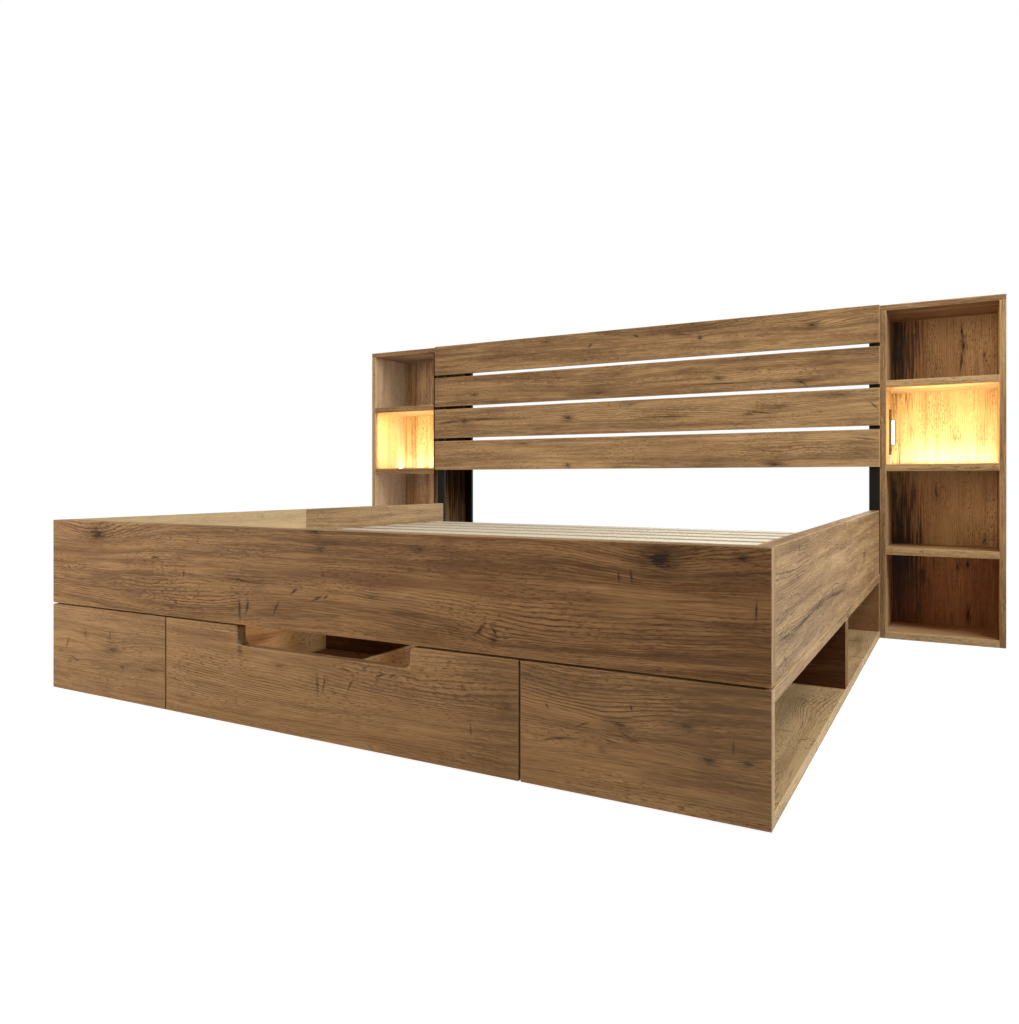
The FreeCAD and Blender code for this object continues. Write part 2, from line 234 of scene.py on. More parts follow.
# The finger notch in the drawer front. Its faces carry the painted edge highlight too, and it starts just
# beside the left cheek, which lies in painted shade.
NOTCH_HALF_WIDTH = 239 * MM
NOTCH_BASE = 187 * MM
NOTCH_BAND = 14 * MM
NOTCH_SHADE = 1.5 * MM

# Grain direction and the direction on the board's own ends, by node
OAK_BOARDS = {
    "foot_board": "xz", "head_rail": "xz", "drawer_front": "xz",
    "front_panel_left": "xz", "front_panel_right": "xz",
    "side_board_left_front": "yz", "side_board_left_rear": "yz",
    "side_board_right_front": "yz", "side_board_right_rear": "yz",
    "box_decks_left": "yx", "box_decks_right": "yx", "box_floors_left": "yx", "box_floors_right": "yx",
    "box_inner_walls_left": "yz", "box_inner_walls_right": "yz",
    "box_dividers_left": "xz", "box_dividers_right": "xz", "box_backs": "xz",
    "headboard_plank_1": "xz", "headboard_plank_2": "xz", "headboard_plank_3": "xz",
    "headboard_plank_4": "xz",
    "tower_left_inner_side": "zy", "tower_left_outer_side": "zy", "tower_left_top": "xy",
    "tower_left_bottom": "xy", "tower_left_back": "zx", "tower_left_shelves": "xy",
    "tower_left_lit_shelf": "xy",
    "tower_right_inner_side": "zy", "tower_right_outer_side": "zy", "tower_right_top": "xy",
    "tower_right_bottom": "xy", "tower_right_back": "zx", "tower_right_shelves": "xy",
    "tower_right_lit_shelf": "xy",
    "drawer_side_left": "yz", "drawer_side_right": "yz", "drawer_back": "xz", "drawer_bottom": "xy",
    "drawer_divider": "yz",
}

# Lighter (above 0) or darker (below 0) boards, partly each board's own tone and partly painted light and
# shade, and how far each is mixed towards the greyish pale tone of painted light (above 0) or towards the
# reddish tone of painted deep shade (below 0)
TONES_WITH_PAINTED_LIGHT_AND_SHADE = {
    "front_panel_left": (-0.01, 0.13), "drawer_front": (0.11, 0.1), "front_panel_right": (0.08, 0.1),
    "side_board_left_front": (0.1, 0.45), "side_board_left_rear": (0.0, 0.08),
    "side_board_right_front": (-0.01, 0.0), "side_board_right_rear": (-0.01, 0.0),
    "box_floors_right": (0.33, 0.0), "box_inner_walls_right": (-0.08, 0.0),
    "box_dividers_right": (-0.15, -0.78),
    "box_backs": (0.05, 0.0),
    "tower_left_outer_side": (0.22, 0.16), "tower_left_inner_side": (-0.12, 0.0),
    "tower_left_back": (-0.01, 0.0),
    "tower_right_back": (0.2, 0.0), "drawer_bottom": (-0.3, -0.5),
    "tower_right_shelves": (0.14, 0.0), "tower_right_bottom": (0.13, 0.1),
    "tower_right_lit_shelf": (0.1, 0.0),
    "tower_right_inner_side": (-0.01, 0.0), "tower_right_outer_side": (-0.03, 0.0),
    "headboard_plank_1": (-0.05, 0.0), "headboard_plank_2": (-0.05, 0.0), "headboard_plank_3": (0.0, 0.03),
    "headboard_plank_4": (0.02, 0.04),
    "drawer_side_left": (0.3, 0.0), "drawer_back": (-0.3, -0.6),
    "drawer_divider": (0.2, 0.0),
}

# Knots (along, across, length, width, depth, figure) and cracks (along, across, turn, length, width, bow)
# as the photograph shows them, in millimetres and degrees. The drawer front's last crack is painted shade
# on the finger notch's left cheek. Across is the sum of the two coordinates that the grain doesn't follow.
MARKS = {
    "foot_board": (
        ((-748, -735, 96, 48, 0.62, 1.6), (-10, -704, 34, 13, 0.6, 0.8), (4, -743, 25, 17, 0.35, 0.6),
         (260, -732, 24, 12, 0.6, 0.8), (751, -731, 76, 46, 0.85, 1.5), (890, -712, 25, 15, 0.55, 0.7),
         (431, -900, 19, 12, 0.6, 1.6), (144, -840, 36, 15, 0.3, 0.5), (-434, -781, 28, 15, 0.25, 0.4),
         (568, -887, 178, 55, 0, 1.2), (-469, -904, 215, 54, 0, 1.3)),
        ((-235, -893, -87, 75, 5.1, 0), (-210, -885, -103, 51, 5.1, 5.8),
         (-123, -881, -120, 45, 4.1, -2.7), (-71, -841, 32, 30, 4, 0), (-5, -852, 23, 42, 3.9, 0),
         (20, -847, 35, 21, 3.5, 0), (402, -881, -130, 46, 4.2, 0), (432, -884, -60, 40, 3, 2),
         (702, -761, -83, 35, 3.2, 0), (679, -764, -85, 27, 2.7, 0), (911, -807, -92, 49, 2.5, 0),
         (-421, -822, -100, 25, 3.7, 2.4), (-227, -826, -4, 158, 2.8, 0), (-521, -786, -2, 41, 3.5, 3.8))),
    "front_panel_left": (
        ((-688, -1035, 54, 26, 0.6, 1), (-798, -1001, 21, 19, 0.4, 0.5), (-861, -1080, 43, 22, 0.3, 0.6),
         (-648, -1075, 19, 15, 0.45, 0.5), (-527, -1071, 74, 15, 0.4, 0.5),
         (-900, -1057, 44, 11, 0.35, 0), (-696, -1010, 40, 31, 0.2, 0.4)),
        ((-872, -1034, 67, 42, 4.1, 0), (-840, -1075, -15, 55, 4, -4), (-795, -1001, -81, 33, 3.7, 0),
         (-538, -1071, 1, 102, 3.5, -2), (-696, -997, -90, 33, 3.4, 0), (-538, -1017, -30, 11, 3.5, 0))),
    "front_panel_right": (
        ((650, -1075, 15, 9, 0.5, 0.7), (680, -1026, 52, 26, 0.6, 1.1), (702, -1047, 18, 11, 0.4, 0.6),
         (797, -1008, 24, 15, 0.55, 0.9), (834, -1062, 36, 20, 0.75, 1), (826, -1083, 12, 8, 0.4, 0.5),
         (898, -1054, 44, 14, 0.7, 0.9), (626, -989, 133, 54, 0, 1.4), (735, -1052, 159, 17, 0.2, 0),
         (568, -1107, 119, 22, 0.12, 0)),
        ((561, -1068, 12, 89, 2.9, 4.6), (875, -1035, -94, 31, 2.4, 0), (542, -1011, -51, 16, 2.6, 0),
         (702, -993, -75, 18, 2.6, 0), (693, -1043, -22, 68, 2.5, 2.6), (611, -1035, 25, 40, 2.2, 1.8),
         (665, -1058, -11, 52, 2.1, -1.8))),
    "drawer_front": (
        ((-114, -1012, 42, 16, 0.4, 0.7), (-416, -1127, 56, 20, 0.25, 0.5),
         (459, -1029, 21, 17, 0.35, 1.1), (-202, -1077, 218, 60, 0, 1.3), (310, -1031, 186, 60, 0, 1.4),
         (32, -1134, 330, 22, 0.16, 0), (-314, -1049, 165, 24, 0.2, 0)),
        ((-3, -1041, -87, 65, 4.4, 0), (16, -1036, -99, 45, 4.1, 4.8), (86, -1030, -120, 40, 3.4, -2.6),
         (126, -988, 27, 22, 3.2, 0), (165, -1000, 19, 37, 3.1, 0), (194, -997, 28, 28, 2.9, 0),
         # the last crack below is painted shade on the finger notch's left cheek
         (74, -999, -7, 44, 2.8, 0), (380, -1079, -85, 34, 2.5, 0), (-237, -930, -90, 120, 4.8, 0))),
    "headboard_plank_1": (
        ((712, 2003, 41, 22, 0.85, 1.4), (301, 1991, 16, 16, 0.9, 0.6), (222, 2018, 144, 24, 0.35, 1),
         (-364, 2031, 43, 13, 0.6, 0.8), (-28, 2036, 216, 29, 0.12, 1.5), (378, 2035, 153, 31, 0.1, 1.6),
         (-489, 1984, 345, 22, 0.25, 0), (840, 2002, 165, 29, 0, 1.3)),
        ((-160, 1999, 48, 33, 5.1, 0), (226, 2011, -7, 131, 4.4, 4), (40, 2022, -18, 45, 5, 0))),
    "headboard_plank_2": (
        ((371, 1827, 42, 28, 0.6, 1.2), (-124, 1795, 80, 30, 0.4, 0.9), (-41, 1870, 61, 21, 0.3, 0.7),
         (674, 1793, 49, 19, 0.5, 0.9), (-723, 1817, 31, 14, 0.6, 0.6), (-205, 1833, 182, 34, 0, 1.4),
         (301, 1855, 196, 16, 0.15, 0), (807, 1822, 200, 18, 0.12, 0)),
        ((676, 1793, -36, 70, 4.5, 3.5), (369, 1827, -27, 49, 4.6, -3.8), (378, 1805, -1, 383, 3.8, 1.9))),
    "headboard_plank_3": (
        ((-260, 1694, 42, 26, 0.85, 1.3), (-776, 1700, 43, 19, 0.75, 1), (6, 1742, 111, 21, 0.4, 0.6),
         (600, 1703, 93, 30, 0.3, 1.2), (800, 1738, 113, 18, 0.45, 0.5), (491, 1685, 89, 15, 0.5, 0.9),
         (-615, 1644, 306, 23, 0.22, 0), (222, 1684, 241, 32, 0.05, 1.6)),
        ((-862, 1696, 4, 164, 7, 3.8), (-669, 1705, 0, 265, 6.4, -4.6), (519, 1687, -9, 162, 5.1, -4.4),
         (181, 1683, -1, 305, 4, 3.2), (919, 1694, -43, 49, 4.2, 0))),
    "headboard_plank_4": (
        ((578, 1487, 50, 19, 0.8, 1), (-260, 1487, 28, 17, 0.7, 0.6), (-480, 1591, 69, 22, 0.3, 0.7),
         (600, 1532, 43, 27, 0.2, 1), (-28, 1480, 130, 13, 0.3, 0), (-692, 1541, 312, 18, 0.14, 0),
         (773, 1518, 202, 37, 0, 1.2)),
        ((-260, 1491, -55, 40, 5.2, 0), (887, 1576, -8, 119, 3.6, 0))),
    "side_board_right_front": (
        ((-920, 1339, 111, 17, 0, 1.6), (-1063, 1394, 132, 21, 0, 1.6), (-612, 1234, 301, 17, 0.45, 1),
         (-984, 1226, 166, 14, 0.4, 0.8), (-305, 1231, 273, 12, 0.6, 0.7), (-725, 1342, 108, 41, 0.16, 0)),
        ((-881, 1377, -67, 37, 3.4, 0), (-840, 1215, -90, 31, 2.9, 0), (268, 1260, -90, 49, 4.2, 0),
         (-1025, 1231, -3, 173, 3.2, 2.1), (-828, 1230, 2, 336, 2.9, 1.9),
         (-612, 1241, 5, 226, 3.4, -2.2), (-343, 1230, -3, 474, 3.9, 2.4),
         (-834, 1233, 1, 442, 2.1, -2.9), (-1035, 1193, -44, 34, 2.8, 0), (-398, 1238, -37, 57, 3.8, 0),
         (-898, 1324, -34, 34, 2.3, 0))),
    "box_floors_right": (
        ((-336, 879, 105, 55, 0.12, 1.5), (635, 915, 123, 35, 0.35, 0.9), (-254, 818, 91, 35, 0.3, 0.6)),
        ((-635, 894, 95, 47, 3.5, 0), (-684, 940, 32, 60, 2.7, 0), (610, 908, 109, 58, 5.4, 0),
         (320, 945, 85, 83, 4.6, 0))),
    "tower_right_back": (
        ((1076, 2338, 52, 19, 0.7, 1.2), (1030, 2404, 22, 9, 0.7, 0.6), (215, 2205, 46, 17, 0.8, 1),
         (248, 2322, 45, 13, 0.6, 0.7), (75, 2354, 59, 16, 0.8, 1), (257, 2354, 30, 13, 0.7, 0.6),
         (1046, 2232, 53, 20, 0.2, 0.8), (764, 2172, 46, 17, 0.2, 0.6), (352, 2407, 29, 19, 0.45, 0.8),
         (730, 2313, 30, 16, 0.35, 0.8), (496, 2149, 115, 47, 0.2, 0)),
        ((1121, 2335, 176, 113, 5.1, 1.9), (1016, 2333, -175, 149, 5.1, -2.5),
         (531, 2251, 180, 85, 3.9, 1.6), (208, 2207, 168, 58, 5.3, 1.7))),
    "side_board_left_rear": (
        ((15, -460, 62, 8, 0.2, 0.5),),
        ()),
    "side_board_left_front": (
        ((-368, -455, 36, 14, 0.35, 0.7),),
        ((-365, -457, -74, 23, 4.9, 0),)),
}

# Darker, paler and warmer streaks as the photograph shows them, and patches of painted light and shade:
# (along, across, length, width, lift, warmth), in millimetres and shares. A lift above 0 is paler, a warmth
# above 0 is redder.
STREAKS_AND_PAINTED_LIGHT_SHADE = {
    # painted shade: the boxes' backs reddened all over, as wood deep in shade
    "box_backs": ((0, 0, 20000, 20000, 0, 0.9),),
    # painted light: the drawer's left side and divider warmed all over, as by warm lamp light
    "drawer_side_left": ((-900, 0, 9000, 9000, 0, 0.45),),
    "drawer_divider": ((-900, 0, 9000, 9000, 0, 0.45),),
    # painted shadow: the left tower's inner side darkened behind the headboard planks
    "tower_left_inner_side": ((840, 70, 1000, 2000, -0.6, 0),),
    # painted light: paler, cooler wood in the left tower's lit niche
    "tower_left_back": ((768, 0, 560, 6000, 0.06, -0.6),),
    "tower_left_outer_side": ((768, 0, 560, 6000, 0.04, -0.6),),
    "tower_right_outer_side": ((1060, 2175, 560, 300, 0.3, -0.2),),
    "tower_right_back": (
        # painted shade: darker and warmer at the bottom, and darker along the left side in the shadow of
        # the tower's inner side; painted light: paler and cooler in the lit niche
        (60, 2270, 640, 2600, -0.22, 0.6), (768, 2270, 560, 6000, 0.04, -0.6),
        (600, 2309, 4000, 180, 0.13, -0.35), (1080, 2121, 480, 216, -0.62, -0.4),
        (270, 2121, 860, 216, -0.7, -0.5)),
    "foot_board": (
        (150, -800, 1250, 46, -0.06, 0.5), (487, -750, 480, 22, -0.11, 0), (55, -728, 450, 20, -0.11, 0),
        (-60, -760, 420, 16, 0.12, 0), (-600, -872, 740, 110, 0.05, -0.3),
        (-620, -800, 400, 26, -0.08, 0.5), (600, -784, 260, 14, 0.13, 0),
        # the first streak below is painted shade: the right end of the foot board darker
        (905, -815, 210, 260, -0.09, 0.1), (850, -735, 150, 18, 0.12, 0), (175, -814, 220, 20, -0.1, 0.2),
        (-760, -716, 260, 14, -0.1, 0)),
    "front_panel_right": (
        (720, -1038, 440, 30, -0.07, 0.1), (620, -1108, 300, 40, 0.06, 0), (720, -960, 420, 26, 0.05, 0),
        # the last streak below is painted shade: the right end of the panel darker
        (850, -1085, 200, 24, -0.06, 0), (890, -1040, 380, 700, -0.16, 0)),
    "front_panel_left": (
        (-725, -1128, 120, 22, -0.13, 0.2), (-565, -1134, 170, 30, -0.07, 0),
        (-715, -972, 420, 40, 0.04, -0.2), (-860, -1116, 170, 16, -0.09, 0),
        (-690, -1040, 90, 40, -0.07, 0)),
    "drawer_front": (
        (0, -1045, 1200, 260, 0, 0.14), (400, -1140, 230, 30, -0.1, 0), (270, -1062, 330, 14, 0.09, 0),
        (-370, -960, 270, 40, -0.03, 0.5), (450, -1029, 100, 26, -0.13, 0.2),
        # the last streak below is painted shade: the right part of the drawer front darker
        (-430, -1125, 120, 30, -0.07, 0), (500, -1045, 360, 500, -0.16, 0),
        # painted shade on the finger notch's left cheek
        (-234, -945, 22, 120, -0.75, 0)),
    "headboard_plank_1": (
        (260, 2032, 520, 26, -0.06, 0.35), (-380, 2038, 420, 10, -0.08, 0), (740, 2010, 260, 30, 0.06, 0),
        (-650, 2000, 520, 100, -0.06, 0)),
    "headboard_plank_2": (
        (130, 1825, 620, 10, -0.12, 0.2), (-180, 1795, 240, 18, -0.12, 0.1),
        (-520, 1820, 560, 30, 0.03, 0), (680, 1800, 140, 24, -0.08, 0)),
    "headboard_plank_3": (
        (-650, 1703, 560, 9, -0.14, 0.1), (560, 1695, 200, 34, -0.06, 0.4),
        (800, 1738, 160, 14, -0.16, 0.2), (-60, 1742, 320, 12, -0.07, 0), (100, 1690, 460, 30, 0.05, 0)),
    "headboard_plank_4": (
        (-640, 1560, 520, 34, 0.05, 0), (580, 1487, 130, 22, -0.12, 0.5),
        (-560, 1535, 420, 12, -0.06, 0.3), (250, 1520, 700, 40, 0.03, 0)),
    "side_board_right_front": (
        (-560, 1240, 1050, 22, -0.12, 0.1), (-200, 1345, 260, 40, -0.06, 0),
        (-900, 1350, 400, 60, 0.05, 0), (-200, 1290, 300, 30, 0.05, 0)),
    "side_board_right_rear": (
        (300, 1378, 900, 22, -0.05, 0.4), (310, 1265, 90, 40, -0.1, 0), (700, 1340, 500, 60, -0.02, 0.4)),
}

# Boards that mirror nothing of the studio: the upright ones inside the boxes, all inside the drawer, and
# the left tower's inner side
INNER_BOARDS = {
    "box_inner_walls_right", "box_inner_walls_left", "box_dividers_right", "box_dividers_left", "box_backs",
    "drawer_back", "drawer_bottom", "drawer_side_left", "drawer_side_right", "drawer_divider",
    "tower_left_inner_side",
}


def streaks(tree, place, length_mm, width_mm, detail, roughness=0.5):
    """Soft streaks of this length along the grain and this width across it, each between 0 and 1."""
    stretched = add_node(tree, "VectorMath", [place, feature(length_mm, width_mm)], operation="MULTIPLY")
    return add_node(tree, "TexNoise", {"Vector": stretched, "Scale": 1.0, "Detail": detail,
                                       "Roughness": roughness})


def board_point(along, across, number):
    """A place on a board's decor, given in millimetres along and across its grain."""
    return (along * MM + number * BOARD_SHIFT, across * MM, float(number))


def oval(length_mm, width_mm):
    """Scale at which the rim of an oval of this length and width lies at a distance of 1."""
    return (2 / (length_mm * MM), 2 / (width_mm * MM), 0.0)


def make_lay_group():
    """Lays the grain along a board: x runs with the grain, y across it, z tells boards apart."""
    tree, given, leave = new_group(
        "Lay of the grain", {"Grain": "Vector", "End grain": "Vector", "Board": "Float"},
        {"Place": "Vector"})
    place = add_node(tree, "TexCoord").outputs["Object"]
    facing = add_node(tree, "NewGeometry").outputs["True Normal"]
    laid = []
    for grain in (given["Grain"], given["End grain"]):
        others = add_node(tree, "VectorMath", [(1, 1, 1), grain], operation="SUBTRACT")
        along = add_node(tree, "VectorMath", [place, grain], operation="DOT_PRODUCT")
        across = add_node(tree, "VectorMath", [place, others], operation="DOT_PRODUCT")
        shifted = add_node(tree, "Math", [given["Board"], BOARD_SHIFT, along], operation="MULTIPLY_ADD")
        laid.append(add_node(tree, "CombineXYZ", [shifted, across, given["Board"]]))
    head_on = add_node(tree, "VectorMath", [facing, given["Grain"]], operation="DOT_PRODUCT")
    steep = add_node(tree, "Math", [head_on], operation="ABSOLUTE")
    at_end = add_node(tree, "Math", [steep, END_FACING], operation="GREATER_THAN")
    chosen = add_node(tree, "Mix", [at_end, *laid], data_type="VECTOR")
    set_inputs(tree, leave, {"Place": chosen})
    return tree


def make_knot_group():
    """A knot: pulls the grain round itself, brings out the rings near it and darkens its ragged heart."""
    tree, given, leave = new_group(
        "Knot",
        {"Place": "Vector", "Dark": "Float", "Rings": "Float", "Centre": "Vector", "Reach": "Vector",
         "Pull": "Float", "Figure": "Float", "Depth": "Float"},
        {"Place": "Vector", "Dark": "Float", "Rings": "Float"})
    away = add_node(tree, "VectorMath", [given["Place"], given["Centre"]], operation="SUBTRACT")
    scaled = add_node(tree, "VectorMath", [away, given["Reach"]], operation="MULTIPLY")
    radius = add_node(tree, "VectorMath", [scaled], operation="LENGTH")
    # the fray adds about 1.3 to the distance from the knot's middle
    fray = streaks(tree, given["Place"], 36, 6, detail=3.0, roughness=0.65)
    rough_radius = add_node(tree, "Math", [fray, 2.6, radius], operation="MULTIPLY_ADD")
    heart = add_node(tree, "MapRange", [rough_radius, 1.4, 2.1, 1.8, 0.0], interpolation_type="SMOOTHSTEP")
    shadow = add_node(tree, "MapRange", [rough_radius, 1.5, 3.4, 0.8, 0.0], interpolation_type="SMOOTHSTEP")
    inked = add_node(tree, "Math", [heart, shadow], operation="MAXIMUM")
    deep = add_node(tree, "Math", [inked, given["Depth"]], operation="MULTIPLY")
    dark = add_node(tree, "Math", [deep, given["Dark"]], operation="MAXIMUM")
    # the grain starts to swerve well before the knot, further off along the grain than across it
    long_scaled = add_node(tree, "VectorMath", [scaled, (0.28, 0.5, 0.0)], operation="MULTIPLY")
    wide_square = add_node(tree, "VectorMath", [long_scaled, long_scaled], operation="DOT_PRODUCT")
    wide_step = add_node(tree, "Math", [wide_square, -1.0], operation="MULTIPLY")
    wide = add_node(tree, "Math", [wide_step], operation="EXPONENT")
    hump = add_node(tree, "Math", [wide, given["Pull"]], operation="MULTIPLY")
    moved = add_node(tree, "CombineXYZ", [0.0, hump])
    place = add_node(tree, "VectorMath", [given["Place"], moved], operation="ADD")
    figured = add_node(tree, "Math", [wide, given["Figure"]], operation="MULTIPLY")
    rings = add_node(tree, "Math", [figured, given["Rings"]], operation="MAXIMUM")
    set_inputs(tree, leave, {"Place": place, "Dark": dark, "Rings": rings})
    return tree


def make_crack_group():
    """A short dry crack: a bowed dark stroke at any angle to the grain."""
    tree, given, leave = new_group(
        "Crack",
        {"Place": "Vector", "Dark": "Float", "Centre": "Vector", "Turn": "Float", "Half length": "Float",
         "Half width": "Float", "Bow": "Float", "Depth": "Float"},
        {"Dark": "Float"})
    away = add_node(tree, "VectorMath", [given["Place"], given["Centre"]], operation="SUBTRACT")
    turned = add_node(tree, "VectorRotate", {"Vector": away, "Angle": given["Turn"]},
                      rotation_type="Z_AXIS")
    x, y, _ = add_node(tree, "SeparateXYZ", [turned]).outputs
    along = add_node(tree, "Math", [x], operation="ABSOLUTE")
    square = add_node(tree, "Math", [x, x], operation="MULTIPLY")
    bowed = add_node(tree, "Math", [square, given["Bow"], y], operation="MULTIPLY_ADD")
    off = add_node(tree, "Math", [bowed], operation="ABSOLUTE")
    edge = add_node(tree, "MapRange", [off, 0.0, given["Half width"], 1.0, 0.0],
                    interpolation_type="SMOOTHSTEP")
    tip = add_node(tree, "MapRange", [along, 0.0, given["Half length"], 1.3, 0.0])
    mark = add_node(tree, "Math", [edge, tip], operation="MULTIPLY", use_clamp=True)
    deep = add_node(tree, "Math", [mark, given["Depth"]], operation="MULTIPLY")
    dark = add_node(tree, "Math", [deep, given["Dark"]], operation="MAXIMUM")
    set_inputs(tree, leave, {"Dark": dark})
    return tree


def make_band_group():
    """A long streak with frayed sides that lifts or lowers the shade and warms or cools it."""
    tree, given, leave = new_group(
        "Band",
        {"Place": "Vector", "Shade": "Float", "Warm": "Float", "Centre": "Vector", "Reach": "Vector",
         "Lift": "Float", "Warmth": "Float"},
        {"Shade": "Float", "Warm": "Float"})
    away = add_node(tree, "VectorMath", [given["Place"], given["Centre"]], operation="SUBTRACT")
    scaled = add_node(tree, "VectorMath", [away, given["Reach"]], operation="MULTIPLY")
    radius = add_node(tree, "VectorMath", [scaled], operation="LENGTH")
    # the fray adds about 0.9 to the distance from the streak's middle
    fray = streaks(tree, given["Place"], 160, 7, detail=2.0)
    rough_radius = add_node(tree, "Math", [fray, 1.8, radius], operation="MULTIPLY_ADD")
    mask = add_node(tree, "MapRange", [rough_radius, 1.1, 2.0, 1.0, 0.0], interpolation_type="SMOOTHSTEP")
    for step, total in (("Lift", "Shade"), ("Warmth", "Warm")):
        added = add_node(tree, "Math", [mask, given[step], given[total]], operation="MULTIPLY_ADD")
        set_inputs(tree, leave, {total: added})
    return tree


def make_wander_group():
    """Bends straight grain a little, as a growing tree does."""
    tree, given, leave = new_group("Wandering grain", {"Place": "Vector"}, {"Place": "Vector"})
    place = given["Place"]
    moves = []
    for length_mm, width_mm, reach_mm in ((900, 170, 22), (210, 50, 5.5), (44, 12, 1.3)):
        bend = streaks(tree, place, length_mm, width_mm, detail=1.0)
        centred = add_node(tree, "Math", [bend, 0.5], operation="SUBTRACT")
        moves.append(add_node(tree, "Math", [centred, 2 * reach_mm * MM], operation="MULTIPLY"))
    total = add_node(tree, "Math", [moves[0], moves[1]], operation="ADD")
    total = add_node(tree, "Math", [total, moves[2]], operation="ADD")
    moved = add_node(tree, "CombineXYZ", [0.0, total])
    shifted = add_node(tree, "VectorMath", [place, moved], operation="ADD")
    set_inputs(tree, leave, {"Place": shifted})
    return tree


def make_decor_group(oak):
    """The printed oak: soft bands, fine rings, fibres and pores, darkened where a knot or crack says so."""
    tree, given, leave = new_group(
        "Oak decor",
        {"Place": "Vector", "Dark": "Float", "Rings": "Float", "Tone": "Float", "Warm": "Float",
         "Straight": "Vector"},
        {"Color": "Color", "Height": "Float", "Roughness": "Float"})
    place = given["Place"]
    straighter = add_node(tree, "Mix", [0.5, given["Straight"], place], data_type="VECTOR")

    # the wood under the lines: each kind of streak lightens or darkens by its own share
    shares = ((streaks(tree, place, 1000, 60, detail=2.0), 0.5),
              (streaks(tree, place, 520, 17, detail=2.0), 0.62),
              (streaks(tree, place, 150, 95, detail=2.0), 0.2),
              (streaks(tree, straighter, 120, 5.5, detail=2.0, roughness=0.65), 0.5),
              (streaks(tree, straighter, 42, oak.fibre_width / MM, detail=2.0, roughness=0.7), 0.6))
    shade = given["Tone"]
    for streak, share in shares:
        shade = add_node(tree, "Math", [streak, share, shade], operation="MULTIPLY_ADD")
    shade = add_node(tree, "Math", [shade, 0.5 - sum(share for _, share in shares) / 2], operation="ADD")
    ramp = add_node(tree, "ValToRGB", [shade])
    stops = ((0.04, oak.knot), (0.26, oak.dark), (0.4, oak.brown), (0.5, oak.middle), (0.62, oak.pale),
             (0.8, oak.light))
    for stop in stops[1:-1]:
        ramp.color_ramp.elements.new(stop[0])
    for element, (position, colour) in zip(ramp.color_ramp.elements, stops):
        element.position = position
        element.color = colour
    reddish = add_node(tree, "MapRange", [streaks(tree, place, 700, 50, detail=2.0), 0.53, 0.66, 0.0, 0.4],
                       interpolation_type="SMOOTHSTEP")
    warm = add_node(tree, "Math", [reddish, given["Warm"]], operation="ADD", use_clamp=True)
    wood = add_node(tree, "Mix", [warm, ramp, oak.heart], data_type="RGBA")

    # growth rings: thin lines along the grain, sharp on one side, clearest round the knots
    _, across, _ = add_node(tree, "SeparateXYZ", [place]).outputs
    straight = add_node(tree, "Math", [across, 1 / oak.ring_spacing], operation="MULTIPLY")
    count = add_node(tree, "Math", [streaks(tree, place, 1100, 150, detail=1.0), 12.0, straight],
                     operation="MULTIPLY_ADD")
    phase = add_node(tree, "Math", [count], operation="FRACT")
    late = add_node(tree, "MapRange", [phase, 0.5, 0.88, 0.0, 1.0], interpolation_type="SMOOTHSTEP")
    early = add_node(tree, "MapRange", [phase, 0.9, 1.0, 1.0, 0.0], interpolation_type="SMOOTHSTEP")
    ring = add_node(tree, "Math", [late, early], operation="MULTIPLY")
    ragged = add_node(tree, "MapRange",
                      [streaks(tree, place, 18, 2.5, detail=2.0, roughness=0.6), 0.35, 0.65, 0.4, 1.3])
    patchy = add_node(tree, "MapRange", [streaks(tree, place, 260, 34, detail=1.0), 0.4, 0.62, 0.0, 0.55],
                      interpolation_type="SMOOTHSTEP")
    shown = add_node(tree, "Math", [given["Rings"], 0.55, patchy], operation="MULTIPLY_ADD")
    ring_ink = add_node(tree, "Math", [ring, shown], operation="MULTIPLY")
    ring_ink = add_node(tree, "Math", [ring_ink, ragged], operation="MULTIPLY", use_clamp=True)
    lined = add_node(tree, "Mix", [ring_ink, wood, oak.ring], data_type="RGBA")

    # pores: short dark dashes in drifts, and a few long thin streaks
    drift = add_node(tree, "MapRange", [streaks(tree, place, 240, 60, detail=1.0), 0.35, 0.62, 0.0, 1.0],
                     interpolation_type="SMOOTHSTEP")
    dash = add_node(tree, "MapRange",
                    [streaks(tree, place, 16, 2.3, detail=2.0, roughness=0.6), 0.53, 0.64, 0.0, 0.85],
                    interpolation_type="SMOOTHSTEP")
    dashes = add_node(tree, "Math", [dash, drift], operation="MULTIPLY")
    thin = add_node(tree, "MapRange",
                    [streaks(tree, place, 120, 4, detail=3.0, roughness=0.6), 0.57, 0.7, 0.0, 0.62],
                    interpolation_type="SMOOTHSTEP")
    pore = add_node(tree, "Math", [dashes, thin], operation="MAXIMUM")
    pored = add_node(tree, "Mix", [pore, lined, oak.ring], data_type="RGBA")

    worn = add_node(tree, "Math", [ragged, 0.75], operation="MAXIMUM")
    mark = add_node(tree, "Math", [given["Dark"], worn], operation="MULTIPLY", use_clamp=True)
    knotted = add_node(tree, "Mix", [mark, pored, oak.knot], data_type="RGBA")
    hollow = add_node(tree, "Math", [ring_ink, pore], operation="ADD")
    hollow = add_node(tree, "Math", [hollow, mark], operation="ADD")
    height = add_node(tree, "Math", [1.0, hollow], operation="SUBTRACT")
    rough = add_node(tree, "Math", [hollow, 0.15, oak.roughness], operation="MULTIPLY_ADD", use_clamp=True)
    set_inputs(tree, leave, {"Color": knotted, "Height": height, "Roughness": rough})
    return tree


